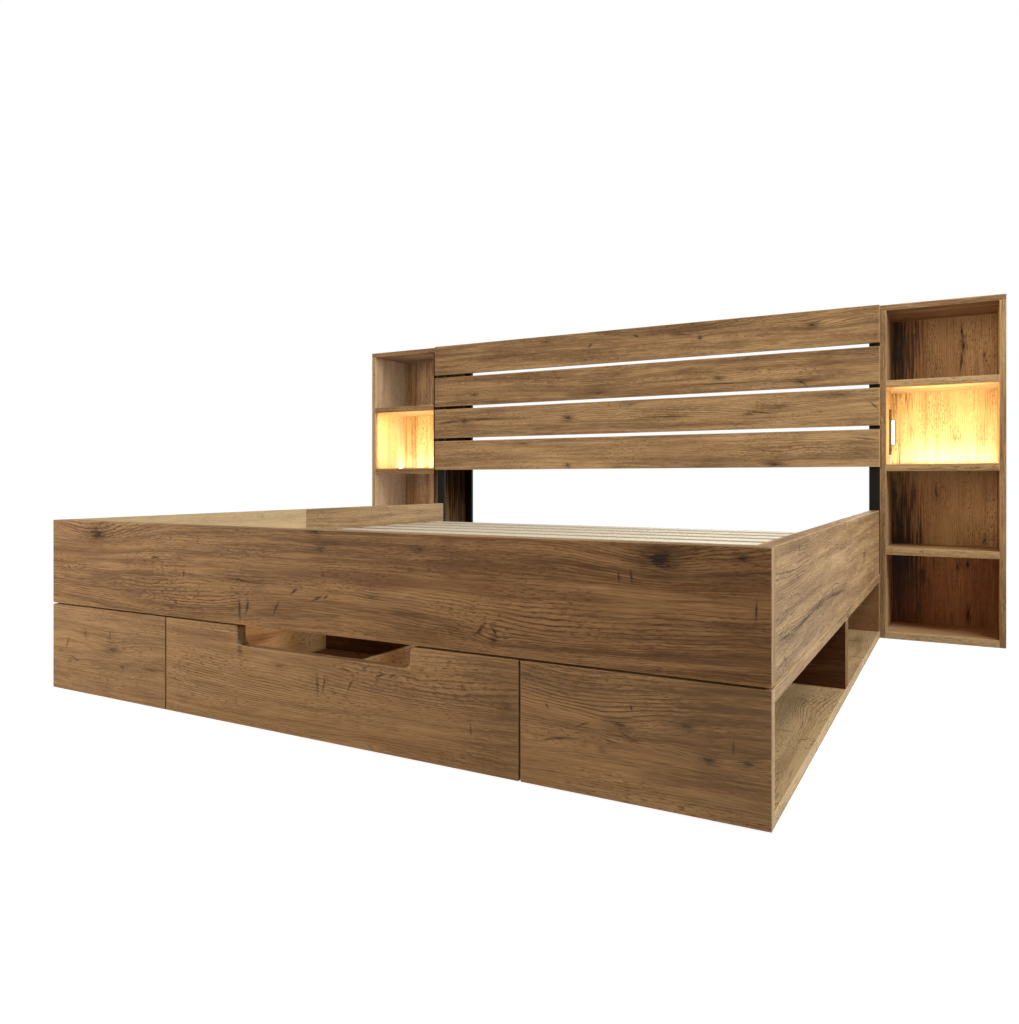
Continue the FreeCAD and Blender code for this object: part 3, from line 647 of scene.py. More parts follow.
def make_arris_group():
    """How near a point lies to a corner line of one board: 1 on the line, 0 from its width away."""
    tree, given, leave = new_group(
        "Board corners", {"Low": "Vector", "High": "Vector", "Width": "Float", "Line": "Float"},
        {"Line": "Float"})
    place = add_node(tree, "TexCoord").outputs["Object"]
    above = add_node(tree, "VectorMath", [place, given["Low"]], operation="SUBTRACT")
    below = add_node(tree, "VectorMath", [given["High"], place], operation="SUBTRACT")
    depth = add_node(tree, "VectorMath", [above, below], operation="MINIMUM")
    x, y, z = add_node(tree, "SeparateXYZ", [depth]).outputs
    low_pair = add_node(tree, "Math", [x, y], operation="MINIMUM")
    high_pair = add_node(tree, "Math", [x, y], operation="MAXIMUM")
    inner = add_node(tree, "Math", [high_pair, z], operation="MINIMUM")
    second = add_node(tree, "Math", [low_pair, inner], operation="MAXIMUM")
    first = add_node(tree, "Math", [low_pair, z], operation="MINIMUM")
    inside = add_node(tree, "Math", [first, -0.5 * MM], operation="GREATER_THAN")
    line = add_node(tree, "MapRange", [second, 0.0, given["Width"], 1.0, 0.0])
    kept = add_node(tree, "Math", [line, inside], operation="MULTIPLY")
    most = add_node(tree, "Math", [kept, given["Line"]], operation="MAXIMUM")
    set_inputs(tree, leave, {"Line": most})
    return tree


def solid_boxes(node_name):
    """Lowest and highest corner of each separate solid in a CAD node."""
    mesh = bmesh.new()
    mesh.from_mesh(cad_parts[node_name].data)
    bmesh.ops.remove_doubles(mesh, verts=mesh.verts, dist=0.01 * MM)
    waiting = set(mesh.verts)
    boxes = []
    while waiting:
        front = [waiting.pop()]
        found = list(front)
        while front:
            vertex = front.pop()
            for edge in vertex.link_edges:
                other = edge.other_vert(vertex)
                if other in waiting:
                    waiting.remove(other)
                    front.append(other)
                    found.append(other)
        boxes.append(tuple(tuple(pick(vertex.co[axis] for vertex in found) for axis in range(3))
                           for pick in (min, max)))
    mesh.free()
    return sorted(boxes)


def scattered_marks(tree, groups, place):
    """Knots and cracks strewn at random over a board for which no knots are listed."""
    cells = add_node(tree, "VectorMath", [place, feature(*MARK_CELL)], operation="MULTIPLY")
    cell = add_node(tree, "TexVoronoi", {"Vector": cells, "Scale": 1.0, "Randomness": 0.8})
    centre = add_node(tree, "VectorMath",
                      [cell.outputs["Position"], (MARK_CELL[0] * MM, MARK_CELL[1] * MM, 1.0)],
                      operation="MULTIPLY")
    first_draw, second_draw, third_draw = add_node(tree, "SeparateXYZ", [cell.outputs["Color"]]).outputs
    depth = add_node(tree, "MapRange", [first_draw, 0.45, 1.0, 0.0, 0.8])
    figure = add_node(tree, "MapRange", [second_draw, 0.0, 1.0, 0.2, 1.1])
    pull = add_node(tree, "Math", [figure, STREWN_PULL * MM], operation="MULTIPLY")
    knot = add_node(tree, "Group", {"Place": place, "Centre": centre, "Reach": oval(*STREWN_KNOT),
                                    "Pull": pull, "Figure": figure, "Depth": depth},
                    node_tree=groups["knot"])
    turn = add_node(tree, "MapRange", [third_draw, 0.0, 1.0, 1.0, 2.2])
    beside = add_node(tree, "VectorMath", [centre, (*(size * MM for size in STREWN_CRACK_PLACE), 0.0)],
                      operation="ADD")
    crack_depth = add_node(tree, "MapRange", [third_draw, 0.4, 0.9, 0.0, 0.7])
    crack = add_node(tree, "Group", {"Place": place, "Dark": knot.outputs["Dark"], "Centre": beside,
                                     "Turn": turn, "Half length": STREWN_CRACK[0] * MM / 2,
                                     "Half width": STREWN_CRACK[1] * MM / 2, "Bow": STREWN_BOW,
                                     "Depth": crack_depth}, node_tree=groups["crack"])
    return knot.outputs["Place"], crack.outputs["Dark"], knot.outputs["Rings"]


def marked_grain(tree, groups, straight, node_name, number):
    """The grain of one board pulled round its knots, its dark marks, and where its rings are clearest."""
    place, dark, rings = straight, 0.0, 0.0
    knots, cracks = MARKS.get(node_name, ((), ()))
    for along, across, length, width, depth, figure in knots:
        knot = add_node(tree, "Group", {"Place": place, "Dark": dark, "Rings": rings,
                                        "Centre": board_point(along, across, number),
                                        "Reach": oval(length, width),
                                        "Pull": KNOT_PULL_SHARE * figure * width * MM, "Figure": figure,
                                        "Depth": depth}, node_tree=groups["knot"])
        place, dark, rings = (knot.outputs[key] for key in ("Place", "Dark", "Rings"))
    for along, across, turn, length, width, bow in cracks:
        crack = add_node(tree, "Group", {"Place": straight, "Dark": dark,
                                         "Centre": board_point(along, across, number),
                                         "Turn": math.radians(-turn), "Half length": length * MM / 2,
                                         "Half width": width * MM * CRACK_WIDENING_SHARE,
                                         "Bow": 4 * bow / length ** 2 / MM, "Depth": CRACK_DEPTH},
                         node_tree=groups["crack"])
        dark = crack.outputs["Dark"]
    return (place, dark, rings) if knots else scattered_marks(tree, groups, straight)


def streaked_and_painted_tone(tree, groups, straight, node_name, number, tone):
    """The tone of one board and how warm it is, with its darker, paler and warmer streaks and its patches
    of painted light and shade.
    """
    shade, warm = tone, 0.0
    for along, across, length, width, lift, warmth in STREAKS_AND_PAINTED_LIGHT_SHADE.get(node_name, ()):
        band = add_node(tree, "Group", {"Place": straight, "Shade": shade, "Warm": warm,
                                        "Centre": board_point(along, across, number),
                                        "Reach": oval(length, width), "Lift": lift, "Warmth": warmth},
                        node_tree=groups["band"])
        shade, warm = band.outputs["Shade"], band.outputs["Warm"]
    return shade, warm


def corner_lines(tree, groups, node_name):
    """How near a point lies to a rounded corner of the edge band, on a board or in the finger notch."""
    corners = [(low, high, ARRIS_WIDTH) for low, high in solid_boxes(node_name)]
    if node_name == "drawer_front":
        low, high = corners[0][:2]
        corners.append(((NOTCH_SHADE - NOTCH_HALF_WIDTH, low[1], NOTCH_BASE),
                        (NOTCH_HALF_WIDTH, high[1], 2 * high[2]), NOTCH_BAND))
    line = 0.0
    for low, high, width in corners:
        line = add_node(tree, "Group", {"Low": low, "High": high, "Width": width, "Line": line},
                        node_tree=groups["arris"]).outputs["Line"]
    return line


def oak_laminate(oak, groups, node_name, number):
    """Wild oak laminate: a matt printed decor under a clear melamine skin, with banded edges.

    It gives the eye long brown and tan bands, fine dark rings and pores, knots and dry cracks, a painted
    highlight along the rounded corners of the edge band, and on some boards painted light and shade.
    """
    material, tree, shader = new_material(f"Wild oak laminate, {node_name.replace('_', ' ')}")
    grain, end = OAK_BOARDS[node_name]
    tone, painted_light_shade_share = TONES_WITH_PAINTED_LIGHT_AND_SHADE.get(node_name, (0.0, 0.0))
    straight = add_node(tree, "Group", {"Grain": AXES[grain], "End grain": AXES[end],
                                        "Board": float(number)}, node_tree=groups["lay"]).outputs["Place"]
    place, dark, rings = marked_grain(tree, groups, straight, node_name, number)
    wander = add_node(tree, "Group", {"Place": place}, node_tree=groups["wander"])
    shade, warm = streaked_and_painted_tone(tree, groups, straight, node_name, number, tone)
    decor = add_node(tree, "Group", {"Place": wander.outputs["Place"], "Dark": dark, "Rings": rings,
                                     "Tone": shade, "Warm": warm, "Straight": straight},
                     node_tree=groups["decor"])
    # painted highlight along the rounded corners of the edge band, weaker on the front boards
    lightening = FRONT_LIGHTENING if node_name in FRONT_BOARDS else ARRIS_LIGHTENING
    painted_edge_highlight = add_node(tree, "Math", [corner_lines(tree, groups, node_name), lightening],
                      operation="MULTIPLY")
    share = abs(painted_light_shade_share)
    if painted_light_shade_share < 0:
        # the painted shade spares the outer edges of a board, which look sideways and still face the light
        facing = add_node(tree, "NewGeometry").outputs["True Normal"]
        x, _, _ = add_node(tree, "SeparateXYZ", [facing]).outputs
        sideways = add_node(tree, "Math", [x], operation="ABSOLUTE")
        share = add_node(tree, "Math", [sideways, painted_light_shade_share, -painted_light_shade_share], operation="MULTIPLY_ADD")
    # a share above 0 mixes in painted light, a share below 0 painted shade
    painted_light_and_shade = add_node(tree, "Mix", [share, decor.outputs["Color"], oak.painted_light_and_shade if painted_light_shade_share > 0 else oak.shaded],
                     data_type="RGBA")
    colour = add_node(tree, "Mix", [painted_edge_highlight, painted_light_and_shade, oak.band], data_type="RGBA")
    bump = add_node(tree, "Bump", {"Strength": 0.25, "Distance": 0.15 * MM,
                                   "Height": decor.outputs["Height"]})
    set_inputs(tree, shader, {"Base Color": colour, "Roughness": decor.outputs["Roughness"],
                              "Specular IOR Level": 0.0 if node_name in INNER_BOARDS else LAMINATE_GLOSS,
                              "Normal": bump})
    return material


# Other finishes


def planed_wood(slats):
    """Planed softwood: pale, faint straight grain, another piece of wood for each slat, painted shade on
    its sides.
    """
    material, tree, shader = new_material("Planed softwood")
    place = add_node(tree, "TexCoord").outputs["Object"]
    _, along_bed, _ = add_node(tree, "SeparateXYZ", [place]).outputs
    grain = streaks(tree, place, 300, 9, detail=4.0, roughness=0.6)
    step = add_node(tree, "Math", [along_bed, 1 / SLAT_PITCH], operation="MULTIPLY")
    whole = add_node(tree, "Math", [step], operation="FLOOR")
    piece = add_node(tree, "TexWhiteNoise", {"W": whole}, noise_dimensions="1D")
    spread = add_node(tree, "Math", [piece, 0.22, grain], operation="MULTIPLY_ADD")
    amount = add_node(tree, "MapRange", [spread, 0.35, 0.95])
    colour = add_node(tree, "Mix", [amount, slats.wood, slats.grain], data_type="RGBA")
    # painted shade: the sides that face along the bed are darker
    facing = add_node(tree, "NewGeometry").outputs["True Normal"]
    _, y, _ = add_node(tree, "SeparateXYZ", [facing]).outputs
    upright = add_node(tree, "Math", [y], operation="ABSOLUTE")
    colour = add_node(tree, "Mix", [upright, colour, slats.painted_side_shade], data_type="RGBA")
    bump = add_node(tree, "Bump", {"Strength": 0.2, "Distance": 0.2 * MM, "Height": grain})
    set_inputs(tree, shader, {"Base Color": colour, "Roughness": 0.65, "Normal": bump})
    return material


def grit_over(tree, shader, colour, roughness, grit_mm, strength):
    """Fine even grit: breaks up the colour, the gloss and the surface of a coated or moulded part."""
    place = add_node(tree, "TexCoord").outputs["Object"]
    grit = add_node(tree, "TexNoise", {"Vector": place, "Scale": 1 / (grit_mm * MM), "Detail": 2.0})
    darker = tuple(channel * 0.75 for channel in colour[:3]) + (1.0,)
    mixed = add_node(tree, "Mix", [grit, darker, tuple(colour)], data_type="RGBA")
    rough = add_node(tree, "MapRange", [grit, 0.0, 1.0, roughness - 0.08, roughness + 0.08])
    bump = add_node(tree, "Bump", {"Strength": strength, "Distance": 0.1 * MM, "Height": grit})
    set_inputs(tree, shader, {"Base Color": mixed, "Roughness": rough, "Normal": bump})


def powder_coat(metal):
    """Black polyester powder coat on steel tube: dull, with a fine orange peel that softens every shine."""
    material, tree, shader = new_material("Black powder coat on steel")
    grit_over(tree, shader, metal.coat, roughness=0.62, grit_mm=1.4, strength=0.35)
    set_inputs(tree, shader, {"Specular IOR Level": 0.15})
    return material


def black_oxide(metal):
    """Black oxide on steel bolts: a dark grey metal whose rounded heads catch some light."""
    material, tree, shader = new_material("Black oxide steel bolts")
    grit_over(tree, shader, metal.oxide, roughness=0.4, grit_mm=0.6, strength=0.15)
    set_inputs(tree, shader, {"Metallic": 1.0})
    return material


def moulded_plastic():
    """Spark-eroded black polyethylene: nearly matt, with the fine grain of the mould."""
    material, tree, shader = new_material("Moulded black polyethylene")
    grit_over(tree, shader, hex_colour("191919"), roughness=0.6, grit_mm=0.7, strength=0.3)
    set_inputs(tree, shader, {"Specular IOR Level": 0.4})
    return material


def bronze_lacquer(metal):
    """Bronze lacquer over die-cast aluminium: dark brown with a soft metal shimmer."""
    material, tree, shader = new_material("Bronze lacquer on cast aluminium")
    grit_over(tree, shader, metal.bronze, roughness=0.42, grit_mm=0.9, strength=0.12)
    set_inputs(tree, shader, {"Metallic": 0.6})
    return material


def rolled_metal(name, colour, roughness, stretch_mm):
    """Rolled or drawn metal: faint lines along it that stretch every highlight, and a cloudy surface."""
    material, tree, shader = new_material(name)
    place = add_node(tree, "TexCoord").outputs["Object"]
    stretched = add_node(tree, "VectorMath", [place, tuple(1 / (size * MM) for size in stretch_mm)],
                         operation="MULTIPLY")
    drawn = add_node(tree, "TexNoise", {"Vector": stretched, "Scale": 1.0, "Detail": 2.0})
    cloud = add_node(tree, "TexNoise", {"Vector": place, "Scale": 1 / (28 * MM), "Detail": 2.0})
    both = add_node(tree, "Math", [drawn, cloud], operation="MULTIPLY")
    darker = tuple(channel * 0.6 for channel in colour[:3]) + (1.0,)
    amount = add_node(tree, "MapRange", [both, 0.1, 0.3])
    mixed = add_node(tree, "Mix", [amount, darker, tuple(colour)], data_type="RGBA")
    rough = add_node(tree, "MapRange", [drawn, 0.0, 1.0, roughness - 0.1, roughness + 0.1])
    bump = add_node(tree, "Bump", {"Strength": 0.15, "Distance": 0.1 * MM, "Height": drawn})
    set_inputs(tree, shader, {"Base Color": mixed, "Roughness": rough, "Normal": bump, "Metallic": 1.0})
    return material


def lit_lens(name, glow, power):
    """Frosted acrylic over light diodes: a warm, slightly uneven glow."""
    material, tree, shader = new_material(name)
    place = add_node(tree, "TexCoord").outputs["Object"]
    cloud = add_node(tree, "TexNoise", {"Vector": place, "Scale": 1 / (17 * MM), "Detail": 1.0})
    level = add_node(tree, "MapRange", [cloud, 0.0, 1.0, 0.9, 1.1])
    shade = add_node(tree, "Mix", [level, hex_colour("fff1d6"), tuple(glow)], data_type="RGBA",
                     clamp_factor=True)
    set_inputs(tree, shader, {"Base Color": shade, "Roughness": 0.4, "Emission Color": glow,
                              "Emission Strength": power})
    return material


# Operators


class BED_OT_boards(bpy.types.Operator):
    """Finish every laminated board of the bed, the drawer, the headboard and the towers"""
    bl_idname = "bed.boards"
    bl_label = "Oak Boards"

    def execute(self, context):
        oak = context.scene.bed_oak
        groups = {"lay": make_lay_group(), "knot": make_knot_group(), "crack": make_crack_group(),
                  "band": make_band_group(), "wander": make_wander_group(), "decor": make_decor_group(oak),
                  "arris": make_arris_group()}
        for number, node_name in enumerate(OAK_BOARDS, start=1):
            dress(node_name, oak_laminate(oak, groups, node_name, number))
        return {"FINISHED"}


class BED_OT_slats(bpy.types.Operator):
    """Finish the slats and the ledges under them"""
    bl_idname = "bed.slats"
    bl_label = "Slats"

    def execute(self, context):
        wood = planed_wood(context.scene.bed_slats)
        for node_name in ("slats", "slat_ledges"):
            dress(node_name, wood)
        return {"FINISHED"}


class BED_OT_metal(bpy.types.Operator):
    """Finish the runners, the beam and its legs, and the plastic feet"""
    bl_idname = "bed.metal"
    bl_label = "Runners, Beam and Feet"

    def execute(self, context):
        metal = context.scene.bed_metal
        along_bed = rolled_metal("Zinc plated steel, rolled along the bed", metal.zinc, roughness=0.36,
                                 stretch_mm=(1.5, 60, 1.5))
        upright = rolled_metal("Zinc plated steel, drawn upright", metal.zinc, roughness=0.36,
                               stretch_mm=(1.5, 1.5, 60))
        for node_name in ("runners_fixed", "runner_middle_left", "runner_middle_right", "runners_drawer",
                          "centre_beam", "beam_hangers"):
            dress(node_name, along_bed)
        dress("centre_legs", upright)
        for node_name in ("glides", "centre_leg_feet"):
            dress(node_name, moulded_plastic())
        return {"FINISHED"}


class BED_OT_strips(bpy.types.Operator):
    """Finish the light strips in the towers"""
    bl_idname = "bed.strips"
    bl_label = "Light Strips"

    def execute(self, context):
        lights = context.scene.bed_lights
        profile = rolled_metal("Anodised aluminium profile", hex_colour("c4c6c8"), roughness=0.35,
                               stretch_mm=(80, 1.2, 1.2))
        dress("light_strips", profile)
        dress("light_strip_lenses", lit_lens("Lit acrylic, shelf strips", lights.glow, lights.strip_power))
        return {"FINISHED"}


# Modelled pieces

SMOOTH_ANGLE = math.radians(40)  # faces that meet at a smaller angle are shaded as one
SOCKET_SMOOTH_ANGLE = math.radians(35)


def select_only(piece):
    """Select one piece alone and make it the active one."""
    bpy.ops.object.select_all(action="DESELECT")
    bpy.context.view_layer.objects.active = piece
    piece.select_set(True)


def begin_edit(piece):
    """Go into edit mode on one piece with nothing selected."""
    select_only(piece)
    bpy.ops.object.mode_set(mode="EDIT")
    bpy.ops.mesh.select_all(action="DESELECT")


def pick_edges(piece, wanted):
    """Select only the edges whose two ends satisfy wanted(one end, other end)."""
    bpy.ops.mesh.select_mode(type="EDGE")
    mesh = bmesh.from_edit_mesh(piece.data)
    for edge in mesh.edges:
        edge.select_set(wanted(edge.verts[0].co, edge.verts[1].co))
    mesh.select_flush_mode()
    bmesh.update_edit_mesh(piece.data)


def pick_faces(piece, wanted):
    """Select only the faces whose normal satisfies wanted(normal)."""
    bpy.ops.mesh.select_mode(type="FACE")
    mesh = bmesh.from_edit_mesh(piece.data)
    for face in mesh.faces:
        face.select_set(wanted(face.normal))
    mesh.select_flush_mode()
    bmesh.update_edit_mesh(piece.data)


def end_edit():
    """Turn the faces outwards, leave edit mode and shade the rounded faces smooth."""
    bpy.ops.mesh.select_all(action="SELECT")
    bpy.ops.mesh.normals_make_consistent(inside=False)
    bpy.ops.object.mode_set(mode="OBJECT")
    bpy.ops.object.shade_smooth_by_angle(angle=SMOOTH_ANGLE)


def bar_between(name, low, high):
    """A plain bar from its lowest to its highest corner, as the start of a piece."""
    bpy.ops.object.select_all(action="DESELECT")
    middle = [(a + b) / 2 for a, b in zip(low, high)]
    size = [b - a for a, b in zip(low, high)]
    bpy.ops.mesh.primitive_cube_add(size=1, location=middle, scale=size)
    bpy.ops.object.transform_apply(location=True, rotation=True, scale=True)
    bpy.context.object.name = name
    return bpy.context.object


def disc_at(name, centre, radius, depth, turn=(0.0, 0.0, 0.0), sides=32):
    """A plain disc or shaft, as the start of a round piece."""
    bpy.ops.object.select_all(action="DESELECT")
    bpy.ops.mesh.primitive_cylinder_add(vertices=sides, radius=radius, depth=depth, location=centre,
                                        rotation=turn)
    bpy.ops.object.transform_apply(location=True, rotation=True, scale=True)
    bpy.context.object.name = name
    return bpy.context.object


def tube_piece(name, low, high, axis, corner, wall):
    """A rectangular steel tube with rounded corners, open at both ends of its long axis."""
    piece = bar_between(name, low, high)
    begin_edit(piece)
    pick_edges(piece, lambda a, b: abs(a[axis] - b[axis]) > (high[axis] - low[axis]) / 2)
    bpy.ops.mesh.bevel(offset=corner, segments=4)
    pick_faces(piece, lambda normal: abs(normal[axis]) > FACING)
    bpy.ops.mesh.inset(thickness=wall)
    bpy.ops.mesh.bridge_edge_loops()
    end_edit()
    return piece


def copy_piece(piece, name, shift, turn=None):
    """A copy with its own mesh, turned about the origin and then moved in its vertices."""
    twin = piece.copy()
    twin.data = piece.data.copy()
    twin.name = name
    bpy.context.scene.collection.objects.link(twin)
    move = Matrix.Translation(Vector(shift))
    twin.data.transform(move @ turn if turn else move)
    return twin


def join_pieces(pieces, name):
    """Join like pieces into one object."""
    bpy.ops.object.select_all(action="DESELECT")
    for piece in pieces:
        piece.select_set(True)
    bpy.context.view_layer.objects.active = pieces[0]
    bpy.ops.object.join()
    bpy.context.object.name = name
    return bpy.context.object


def one_in_each_box(first, boxes, name, joined_name):
    """Copy the piece that fills the first box into the other boxes, and join them all."""
    rest = []
    for number, (low, _) in enumerate(boxes[1:], start=2):
        shift = [a - b for a, b in zip(low, boxes[0][0])]
        rest.append(copy_piece(first, f"{name}_{number}", shift))
    return join_pieces([first] + rest, joined_name)


def settle(piece, slot, material, *nodes):
    """Dress a finished piece, hide the nodes that it stands for, and let the bed carry it."""
    dress(piece, material)
    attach(piece, "bed")
    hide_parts(*nodes)


class BED_OT_posts(bpy.types.Operator):
    """Model the four headboard posts, the ties between them and the plugs on their tops"""
    bl_idname = "bed.posts"
    bl_label = "Headboard Posts"

    def execute(self, context):
        metal = context.scene.bed_metal
        coat = powder_coat(metal)
        for node_name, axis in (("headboard_posts", 2), ("post_ties", 1)):
            boxes = solid_boxes(node_name)
            first = tube_piece(node_name + "_1", *boxes[0], axis, metal.tube_corner, metal.tube_wall)
            tubes = one_in_each_box(first, boxes, node_name, node_name + "_tubes")
            settle(tubes, "black_steel", coat, node_name)
        boxes = solid_boxes("post_plugs")
        low, high = boxes[0]
        plug = bar_between("post_plug_1", low, high)
        begin_edit(plug)
        pick_edges(plug, lambda a, b: abs(a[2] - b[2]) > (high[2] - low[2]) / 2)
        bpy.ops.mesh.bevel(offset=metal.tube_corner, segments=4)
        pick_edges(plug, lambda a, b: min(a[2], b[2]) > high[2] - EDGE_SLACK)
        bpy.ops.mesh.bevel(offset=PLUG_ROUNDING, segments=3)
        end_edit()
        plugs = one_in_each_box(plug, boxes, "post_plug", "post_plug_caps")
        settle(plugs, "dark_plastic", moulded_plastic(), "post_plugs")
        return {"FINISHED"}


HEAD_ROUNDING_SHARE = 0.65  # of the head's height
SOCKET_DEPTH_SHARE = 0.65  # of the head's height
TIP_TAPER_SHARE = 0.75  # of the bolt's thickness


class BED_OT_bolts(bpy.types.Operator):
    """Model the button head bolts with their hexagon sockets"""
    bl_idname = "bed.bolts"
    bl_label = "Frame Bolts"

    def execute(self, context):
        metal = context.scene.bed_metal
        plank_bolts, tower_bolts = [], []
        for low, high in solid_boxes("frame_bolts"):
            middle = [(a + b) / 2 for a, b in zip(low, high)]
            if high[1] - low[1] > high[0] - low[0]:
                plank_bolts.append((low, high, (middle[0], high[1], middle[2]), "X", -90))
            elif middle[0] > 0:
                tower_bolts.append((low, high, (low[0], middle[1], middle[2]), "Y", -90))
            else:
                tower_bolts.append((low, high, (high[0], middle[1], middle[2]), "Y", 90))
        bolts = []
        for group in (plank_bolts, tower_bolts):
            low, high = group[0][:2]
            pattern = self.button_bolt(metal, (high[2] - low[2]) / 2, max(b - a for a, b in zip(low, high)))
            bolts += [copy_piece(pattern, f"frame_bolt_{len(bolts) + number}", head,
                                 Matrix.Rotation(math.radians(angle), 4, axis))
                      for number, (_, _, head, axis, angle) in enumerate(group, start=1)]
            bpy.data.objects.remove(pattern)
        settle(join_pieces(bolts, "frame_bolt_set"), "black_steel", black_oxide(metal), "frame_bolts")
        return {"FINISHED"}

    def button_bolt(self, metal, head_radius, length):
        """A bolt that points down from the origin, where the middle of its rounded head is."""
        head = disc_at("bolt_pattern", (0, 0, -metal.head_height / 2), head_radius, metal.head_height,
                       sides=24)
        begin_edit(head)
        pick_edges(head, lambda a, b: min(a[2], b[2]) > -EDGE_SLACK)
        bpy.ops.mesh.bevel(offset=metal.head_height * HEAD_ROUNDING_SHARE, segments=4)
        pick_faces(head, lambda normal: normal[2] < -FACING)
        bpy.ops.mesh.inset(thickness=head_radius - metal.shank_radius)
        for step, taper in ((length - metal.head_height - metal.tip, 1.0), (metal.tip, TIP_TAPER_SHARE)):
            bpy.ops.mesh.extrude_region_move(TRANSFORM_OT_translate={"value": (0, 0, -step)})
            bpy.ops.transform.resize(value=(taper, taper, 1), center_override=(0, 0, 0))
        end_edit()
        key_length = 2 * metal.head_height * SOCKET_DEPTH_SHARE
        key = disc_at("key_cutter", (0, 0, 0), metal.socket_radius, key_length, sides=6)
        select_only(head)
        cut = head.modifiers.new("Hexagon socket", "BOOLEAN")
        cut.operation = "DIFFERENCE"
        cut.object = key
        bpy.ops.object.modifier_apply(modifier=cut.name)
        bpy.data.objects.remove(key)
        bpy.ops.object.shade_smooth_by_angle(angle=SOCKET_SMOOTH_ANGLE)
        return head


# Small forms of the reading light as shares of its larger sizes
PLATE_EDGE_SHARE = 1 / 5  # of the plate's corner radius
BAR_EDGE_SHARE = 1 / 8  # of the bar's width
BUTTON_RIM_SHARE = 1 / 5  # of the button's radius
DISH_SLOPE_SHARE = 1 / 10  # of the button's radius
DISH_DEPTH_SHARE = 1 / 3  # of the button's height
BUTTON_EDGE_SHARE = 1 / 4  # of the button's height


def lamp_plate(lights, low, face, high):
    """The wall plate with its rounded corners and its softly rounded face."""
    plate = bar_between("lamp_plate", low, (face, high[1], high[2]))
    begin_edit(plate)
    pick_edges(plate, lambda a, b: abs(a[0] - b[0]) > (face - low[0]) / 2)
    bpy.ops.mesh.bevel(offset=lights.plate_corner, segments=6)
    pick_edges(plate, lambda a, b: min(a[0], b[0]) > face - EDGE_SLACK)
    bpy.ops.mesh.bevel(offset=lights.plate_corner * PLATE_EDGE_SHARE, segments=3)
    end_edit()
    return plate


def lamp_bar(lights, lens_low, lens_high, front):
    """The bar on the plate, with a groove for the lit strip in its side."""
    bar = bar_between("lamp_bar", lens_low, (front, lens_high[1] + lights.bar_width, lens_high[2]))

    def outer_corner(a, b):
        beyond_strip = min(a[1], b[1]) > lens_high[1]
        return beyond_strip and (min(a[0], b[0]) > front - EDGE_SLACK or abs(a[0] - b[0]) > EDGE_SLACK)

    begin_edit(bar)
    pick_edges(bar, outer_corner)
    bpy.ops.mesh.bevel(offset=lights.bar_width * BAR_EDGE_SHARE, segments=3)
    pick_faces(bar, lambda normal: normal[1] < -FACING)
    bpy.ops.mesh.inset(thickness=lights.bar_rim)
    bpy.ops.mesh.extrude_region_move(TRANSFORM_OT_translate={"value": (0, lens_high[1] - lens_low[1], 0)})
    end_edit()
    return bar


def touch_button(lights, plate_face, centre):
    """The round button with its shallow dish; centre is its place on the plate, as Y and Z."""
    radius, height = lights.button_radius, lights.button_height
    button = disc_at("touch_button", (plate_face + height / 2, *centre), radius, height,
                     turn=(0.0, math.radians(90), 0.0))

    def outer_corner(a, b):
        on_face = min(a[0], b[0]) > plate_face + height - EDGE_SLACK
        return on_face and min(math.dist(end[1:], centre) for end in (a, b)) > radius - EDGE_SLACK

    begin_edit(button)
    pick_faces(button, lambda normal: normal[0] > FACING)
    bpy.ops.mesh.inset(thickness=radius * BUTTON_RIM_SHARE)
    bpy.ops.mesh.inset(thickness=radius * DISH_SLOPE_SHARE, depth=-height * DISH_DEPTH_SHARE)
    pick_edges(button, outer_corner)
    bpy.ops.mesh.bevel(offset=height * BUTTON_EDGE_SHARE, segments=2)
    end_edit()
    return button


def lamp_strip(rim, lens_low, lens_high):
    """The frosted strip in the bar's groove, rounded towards the room."""
    low = (lens_low[0] + rim, lens_low[1] + rim / 2, lens_low[2] + rim)
    high = (lens_high[0] - rim, lens_high[1], lens_high[2] - rim)
    strip = bar_between("reading_light_diffuser", low, high)
    begin_edit(strip)
    pick_edges(strip, lambda a, b: max(a[1], b[1]) < lens_low[1] + rim and abs(a[2] - b[2]) > rim)
    bpy.ops.mesh.bevel(offset=rim, segments=4)
    end_edit()
    return strip


class BED_OT_reading_light(bpy.types.Operator):
    """Model the reading light: wall plate, bar, frosted strip and touch button"""
    bl_idname = "bed.reading_light"
    bl_label = "Reading Light"

    def execute(self, context):
        metal = context.scene.bed_metal
        lights = context.scene.bed_lights
        low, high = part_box("reading_light_body")
        lens_low, lens_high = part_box("reading_light_lens")
        plate_face = lens_low[0]
        plate = lamp_plate(lights, low, plate_face, high)
        bar = lamp_bar(lights, lens_low, lens_high, high[0])
        button_place = ((low[1] + high[1]) / 2, lens_low[2] - lights.button_drop)
        button = touch_button(lights, plate_face, button_place)
        settle(join_pieces([plate, bar, button], "reading_light_housing"), "lamp_bronze",
               bronze_lacquer(metal), "reading_light_body")
        strip = lamp_strip(lights.bar_rim, lens_low, lens_high)
        settle(strip, "light_lens", lit_lens("Lit acrylic, reading light", lights.glow, lights.lamp_power),
               "reading_light_lens")
        return {"FINISHED"}


# The camera that took the photograph, found from the bed's vanishing points. It stands level, and its lens
# is shifted.
CAMERA_PLACE = (1.202, -2.645, 0.572)
CAMERA_TURN = 32  # degrees to the left of the bed's length
CAMERA_LENS = 30.44
CAMERA_SENSOR = 36.0
CAMERA_SHIFT = (0.0815, -0.0310)

# The floor, and the distances from its middle between which it turns fully white
FLOOR_SIZE = 40
WHITENING_START = 1.6
WHITENING_END = 4.0

